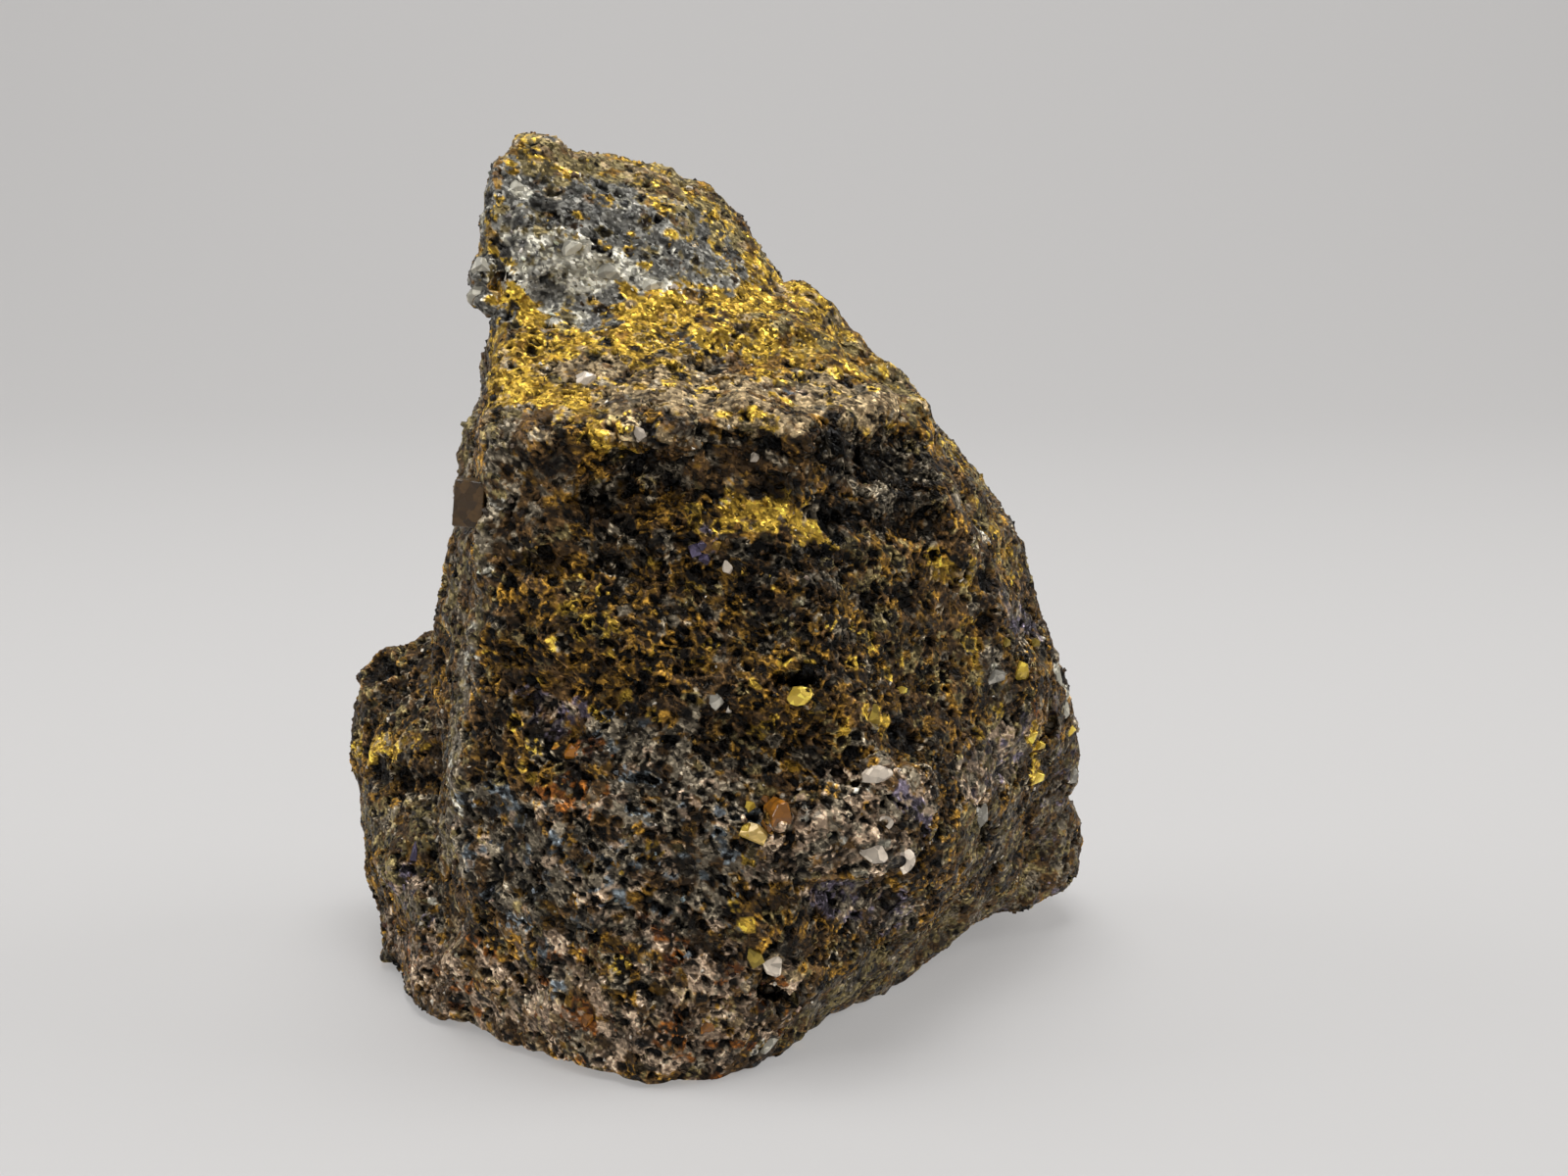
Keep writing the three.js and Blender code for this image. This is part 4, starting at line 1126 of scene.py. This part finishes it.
def setCrystal(shape, seat):
    ahead, size = seat["ahead"], seat["size"]
    across = Vector((0, 0, 1)).cross(ahead).normalized()
    axes = Matrix((across, ahead.cross(across), ahead)).transposed()
    scale = Matrix.Diagonal([length / pixelsPerMm / 2 for length in size])
    rise = seat["lift"] - crystalSeating["sink"] * size[2]
    middle = seat["place"] + seat["facing"] * rise / pixelsPerMm
    crystal = shape.copy()
    crystal.data = shape.data.copy()
    bpy.context.scene.collection.objects.link(crystal)
    turned = axes @ Matrix.Rotation(math.radians(seat["turn"]), 3, "Z") @ scale
    crystal.data.transform(Matrix.Translation(middle * mm) @ (turned * mm).to_4x4())
    crystal.data.update()
    return crystal


def makeCrystals():
    shapes = {name: cutShape(name, spec) for name, spec in crystalShapes.items()}
    groups = {}
    for seat in crystalSeats:
        groups.setdefault(seat["finish"], []).append(setCrystal(shapes[seat["shape"]], seat))
    for shape in shapes.values():
        bpy.data.objects.remove(shape)
    for finish, crystals in groups.items():
        bpy.ops.object.select_all(action="DESELECT")
        for crystal in crystals:
            crystal.select_set(True)
        bpy.context.view_layer.objects.active = crystals[0]
        if len(crystals) > 1:
            bpy.ops.object.join()
        crystals[0].name = finish + "Crystals"
        groups[finish] = crystals[0]
    return groups


crystalPieces = makeCrystals()
print("crystals set:", {finish: len(piece.data.polygons) for finish, piece in crystalPieces.items()})


def feed(tree, node, inputs):
    # links each input to a socket or sets it to a value
    for key, value in inputs.items():
        if isinstance(value, bpy.types.NodeSocket):
            tree.links.new(value, node.inputs[key])
        else:
            node.inputs[key].default_value = value


def addNode(tree, kind, inputs, **settings):
    node = tree.nodes.new("ShaderNode" + kind)
    for key, value in settings.items():
        setattr(node, key, value)
    feed(tree, node, inputs)
    return node


def calculate(tree, operation, first, second, kind="Math"):
    return addNode(tree, kind, {0: first, 1: second}, operation=operation).outputs[0]


def scaled(tree, vector, factor):
    return addNode(tree, "VectorMath", {0: vector, "Scale": factor}, operation="SCALE").outputs[0]


def remap(tree, value, reach=(0.0, 1.0), between=(0.0, 1.0), **settings):
    ends = {"From Min": between[0], "From Max": between[1], "To Min": reach[0], "To Max": reach[1]}
    return addNode(tree, "MapRange", {"Value": value, **ends}, **settings).outputs[0]


def startGroup(name, numbers):
    # a node group that takes a place, a colour and these numbers, and gives a colour and a height
    group = bpy.data.node_groups.new(name, "ShaderNodeTree")
    sockets = [("Place", "INPUT", "Vector"), ("Colour", "INPUT", "Color")]
    sockets += [(key, "INPUT", "Float") for key in numbers]
    sockets += [("Colour", "OUTPUT", "Color"), ("Height", "OUTPUT", "Float")]
    for key, side, kind in sockets:
        socket = group.interface.new_socket(key, in_out=side, socket_type="NodeSocket" + kind)
        if key in numbers:
            socket.default_value = numbers[key]
    return group, group.nodes.new("NodeGroupInput").outputs


def finishGroup(group, colour, height):
    leaving = group.nodes.new("NodeGroupOutput")
    feed(group, leaving, {"Colour": colour, "Height": height})
    return group


def makeBreakupGroup():
    # fine crystals: each spot has a brightness of its own and a flat face with a tilt of its own
    group, given = startGroup("crystalBreakup", {"Fineness": 3.0, "Darkest": 0.4, "Brightest": 1.6})
    asked = {"Vector": given["Place"], "Scale": given["Fineness"]}
    cells = addNode(group, "TexVoronoi", asked).outputs
    clouds = addNode(group, "TexNoise", asked | {"Detail": 2.0}).outputs
    luck = addNode(group, "SeparateColor", {0: cells["Color"]}).outputs
    contrast = calculate(group, "POWER", luck[0], 2.0)
    mixed = calculate(group, "MULTIPLY", contrast, clouds["Fac"])
    level = remap(group, mixed, (given["Darkest"], given["Brightest"]), between=(0.0, 0.5))
    inCell = calculate(group, "SUBTRACT", given["Place"], cells["Position"], "VectorMath")
    tilt = calculate(group, "SUBTRACT", cells["Color"], (0.5, 0.5, 0.5), "VectorMath")
    height = addNode(group, "VectorMath", {0: inCell, 1: tilt}, operation="DOT_PRODUCT").outputs["Value"]
    return finishGroup(group, scaled(group, given["Colour"], level), height)


crystalBreakup = makeBreakupGroup()

# the net of pores
poreShape = {
    "driftFineness": 3.0,  # how its walls wander
    "drift": 0.3,
    "slope": (0.03, 0.26),  # of a cell, where a pore's side starts and where it is deep
    "shallowest": 0.45,
    "wallWide": 0.12,
}


def makePoreGroup(spec):
    # a net of thin walls round small pores, the pores darkened as painted shade and the walls lightened as
    # painted highlight, more of the pores where Share is high
    group, given = startGroup("poreNet", {"Share": 0.5, "Fineness": 3.0, "Darkest": 0.2, "Glow": 0.6})
    asked = {"Vector": given["Place"], "Scale": spec["driftFineness"], "Detail": 2.0}
    wander = addNode(group, "TexNoise", asked).outputs["Color"]
    centred = calculate(group, "SUBTRACT", wander, (0.5, 0.5, 0.5), "VectorMath")
    bent = calculate(group, "ADD", given["Place"], scaled(group, centred, spec["drift"]), "VectorMath")
    asked = {"Vector": bent, "Scale": given["Fineness"]}
    cells = addNode(group, "TexVoronoi", asked).outputs
    walls = addNode(group, "TexVoronoi", asked, feature="DISTANCE_TO_EDGE").outputs
    luck = addNode(group, "SeparateColor", {0: cells["Color"]}).outputs
    isPore = calculate(group, "LESS_THAN", luck[0], given["Share"])
    inside = remap(group, walls["Distance"], between=spec["slope"], interpolation_type="SMOOTHSTEP")
    deep = remap(group, luck[1], (spec["shallowest"], 1.0))
    pore = calculate(group, "MULTIPLY", calculate(group, "MULTIPLY", isPore, deep), inside)
    # painted shade in the pores and painted highlight on the walls between them
    paintedShading = remap(group, pore, (1.0, given["Darkest"]))
    wall = remap(group, walls["Distance"], (1.0, 0.0), between=(0.0, spec["wallWide"]))
    shown = calculate(group, "MULTIPLY", wall, given["Share"])
    glow = remap(group, shown, (1.0, given["Glow"]))
    level = calculate(group, "MULTIPLY", paintedShading, glow)
    height = calculate(group, "MULTIPLY", pore, -1.0)
    return finishGroup(group, scaled(group, given["Colour"], level), height)


poreNet = makePoreGroup(poreShape)

# finishes: fineness is crystals to a mm, bump is the steepness of their faces
oreFinish = {
    "fineness": 6.5,
    "darkest": 0.5,
    "brightest": 2.0,
    "bump": 1.1,
    "gloss": 0.2,
    "pores": {"fineness": 3.1, "darkest": 0.08, "glow": 1.8, "depth": 0.14},  # depth in mm; darkest is the painted shade in the pores, glow the painted highlight on their walls
}
grainFinish = {"fineness": 8.0, "darkest": 0.6, "brightest": 1.6, "bump": 0.6, "gloss": 0.35, "pores": None}


def startMaterial(name):
    material = bpy.data.materials.new(name)
    material.use_nodes = True
    return material, material.node_tree, material.node_tree.nodes["Principled BSDF"]


def stored(tree, name, output="Fac"):
    return addNode(tree, "Attribute", {}, attribute_name=name).outputs[output]


def placeInMm(tree, **turned):
    whole = addNode(tree, "TexCoord", {}).outputs["Object"]
    sockets = {"Vector": whole, "Scale": (mm, mm, mm)} | turned
    return addNode(tree, "Mapping", sockets, vector_type="TEXTURE").outputs["Vector"]


def addBreakup(tree, place, colour, spec):
    levels = {key.title(): spec[key] for key in ("fineness", "darkest", "brightest")}
    fine = addNode(tree, "Group", {}, node_tree=crystalBreakup)
    feed(tree, fine, {"Place": place, "Colour": colour, **levels})
    bump = addNode(tree, "Bump", {"Height": fine.outputs["Height"], "Distance": spec["bump"] * mm})
    return fine.outputs["Colour"], bump


def addPores(tree, place, colour, spec):
    levels = {key.title(): spec[key] for key in ("fineness", "darkest", "glow")}
    net = addNode(tree, "Group", {}, node_tree=poreNet)
    feed(tree, net, {"Place": place, "Colour": colour, "Share": stored(tree, "pores"), **levels})
    dents = addNode(tree, "Bump", {"Height": net.outputs["Height"], "Distance": spec["depth"] * mm})
    return net.outputs["Colour"], dents


def makeOreMaterial(name, spec):
    material, tree, shader = startMaterial(name)
    turn = (0, math.radians(foliation["tip"]), 0)
    place = placeInMm(tree, Rotation=turn, Scale=(foliation["stretch"] * mm, mm, mm))
    colour, bump = addBreakup(tree, place, stored(tree, "tone", "Color"), spec)
    if spec["pores"]:
        colour, dents = addPores(tree, place, colour, spec["pores"])
        tree.links.new(dents.outputs[0], bump.inputs["Normal"])
    feed(tree, shader, {"Metallic": stored(tree, "metal"), "Roughness": stored(tree, "rough")})
    feed(tree, shader, {"Base Color": colour, "Specular IOR Level": spec["gloss"]})
    tree.links.new(bump.outputs[0], shader.inputs["Normal"])
    return material


# the single crystals: screen colour and gloss
crystalFinishes = {
    "brightGold": {"colour": (1.0, 0.85, 0.35), "metal": 0.45, "rough": 0.2, "clear": 0.0},
    "oliveGold": {"colour": (0.70, 0.60, 0.26), "metal": 0.6, "rough": 0.3, "clear": 0.0},
    "amber": {"colour": (0.66, 0.42, 0.12), "metal": 0.0, "rough": 0.22, "clear": 0.12},
    "palePlate": {"colour": (0.94, 0.88, 0.80), "metal": 0.1, "rough": 0.25, "clear": 0.0},
    "honeyPlate": {"colour": (1.0, 0.85, 0.50), "metal": 0.1, "rough": 0.25, "clear": 0.0},
    "silverPlate": {"colour": (0.70, 0.68, 0.63), "metal": 0.4, "rough": 0.22, "clear": 0.0},
    "violetPlate": {"colour": (0.38, 0.35, 0.45), "metal": 0.6, "rough": 0.25, "clear": 0.0},
    "milkyQuartz": {"colour": (0.82, 0.80, 0.73), "metal": 0.0, "rough": 0.3, "clear": 0.1},
    "brownCube": {"colour": (0.33, 0.24, 0.12), "metal": 0.0, "rough": 0.25, "clear": 0.15},
}
crystalBreak = {"fineness": 2.4, "darkest": 0.55, "brightest": 1.5, "bump": 0.16, "bending": 1.54}


def makeCrystalMaterial(name, finish, spec):
    material, tree, shader = startMaterial(name)
    tone = (*linearColour(finish["colour"]), 1)
    colour, bump = addBreakup(tree, placeInMm(tree), tone, spec)
    feed(tree, shader, {"Metallic": finish["metal"], "Roughness": finish["rough"]})
    feed(tree, shader, {"Transmission Weight": finish["clear"], "IOR": spec["bending"]})
    feed(tree, shader, {"Base Color": colour, "Normal": bump.outputs[0]})
    return material


nettedOre = makeOreMaterial("nettedOre", oreFinish)
sugaryGrain = makeOreMaterial("sugaryGrain", grainFinish)
for piece in oreBands:
    piece.data.materials.append(nettedOre)
    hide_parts("cobaltite_specimen")
for piece in grainPieces:
    piece.data.materials.append(sugaryGrain)
for finish, piece in crystalPieces.items():
    piece.data.materials.clear()
    piece.data.materials.append(makeCrystalMaterial(finish, crystalFinishes[finish], crystalBreak))
for piece in [*oreBands, *grainPieces, *crystalPieces.values()]:
    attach(piece, "root")
print("materials set")

# floor, backdrop and light
studio = {
    "floorReach": 700.0,  # mm
    "floorFront": -400.0,
    "backdropAt": 420.0,
    "backdropHigh": 500.0,
    "corner": 180.0,
    "cornerSteps": 16,
    "floorTone": (0.34, 0.334, 0.33),
    "floorRough": 0.7,
    "floorGlow": 0.84,
    "roomTone": (0.80, 0.79, 0.77),
    "roomStrength": 0.15,
    "lights": {
        "topLight": {"place": (0, -20, 260), "aim": (0, 0, 20), "size": 140, "power": 0.41},
        "leftLight": {"place": (-330, 20, 240), "aim": (0, 0, 20), "size": 200, "power": 0.4},
        "rightLight": {"place": (330, 20, 240), "aim": (0, 0, 20), "size": 200, "power": 0.44},
        "backdropLight": {"place": (0, 120, 360), "aim": (0, 400, 120), "size": 300, "power": 0.27},
    },
}


def makeStage(spec):
    # a floor with a wall on every side, and round corners between them
    bpy.ops.object.select_all(action="DESELECT")
    bpy.ops.mesh.primitive_plane_add(size=2)
    stage = bpy.context.object
    stage.name = "studioFloor"
    points = readPoints(stage.data)
    points[:, 0] *= spec["floorReach"] * mm
    points[:, 1] = np.where(points[:, 1] > 0, spec["backdropAt"], spec["floorFront"]) * mm
    writePoints(stage.data, points)
    bpy.ops.object.mode_set(mode="EDIT")
    bpy.ops.mesh.select_mode(type="EDGE")
    bpy.ops.mesh.select_all(action="SELECT")
    bpy.ops.mesh.extrude_edges_move(TRANSFORM_OT_translate={"value": (0, 0, spec["backdropHigh"] * mm)})
    bpy.ops.mesh.select_mode(type="VERT")
    bpy.ops.object.mode_set(mode="OBJECT")
    edges = {"limit_method": "ANGLE", "angle_limit": math.radians(60)}
    applyModifier(stage, "BEVEL", width=spec["corner"] * mm, segments=spec["cornerSteps"], **edges)
    onlySelect(stage)
    bpy.ops.object.shade_smooth()
    material, tree, shader = startMaterial("paleStudio")
    tone = (*spec["floorTone"], 1)
    feed(tree, shader, {"Base Color": tone, "Roughness": spec["floorRough"]})
    feed(tree, shader, {"Emission Color": tone, "Emission Strength": spec["floorGlow"]})
    stage.data.materials.append(material)


def addLight(name, spec):
    place, aim = Vector(spec["place"]) * mm, Vector(spec["aim"]) * mm
    bpy.ops.object.light_add(type="AREA", location=place)
    light = bpy.context.object
    light.name = name
    light.data.size = spec["size"] * mm
    light.data.energy = spec["power"]
    light.rotation_euler = (aim - place).to_track_quat("-Z", "Y").to_euler()
    light.visible_camera = False


makeStage(studio)
for name, spec in studio["lights"].items():
    addLight(name, spec)
room = bpy.data.worlds.new("paleRoom")
room.use_nodes = True
background = room.node_tree.nodes["Background"]
feed(room.node_tree, background, {"Color": (*studio["roomTone"], 1), "Strength": studio["roomStrength"]})
bpy.context.scene.world = room
bpy.context.scene.view_settings.view_transform = "Standard"
print("studio ready")
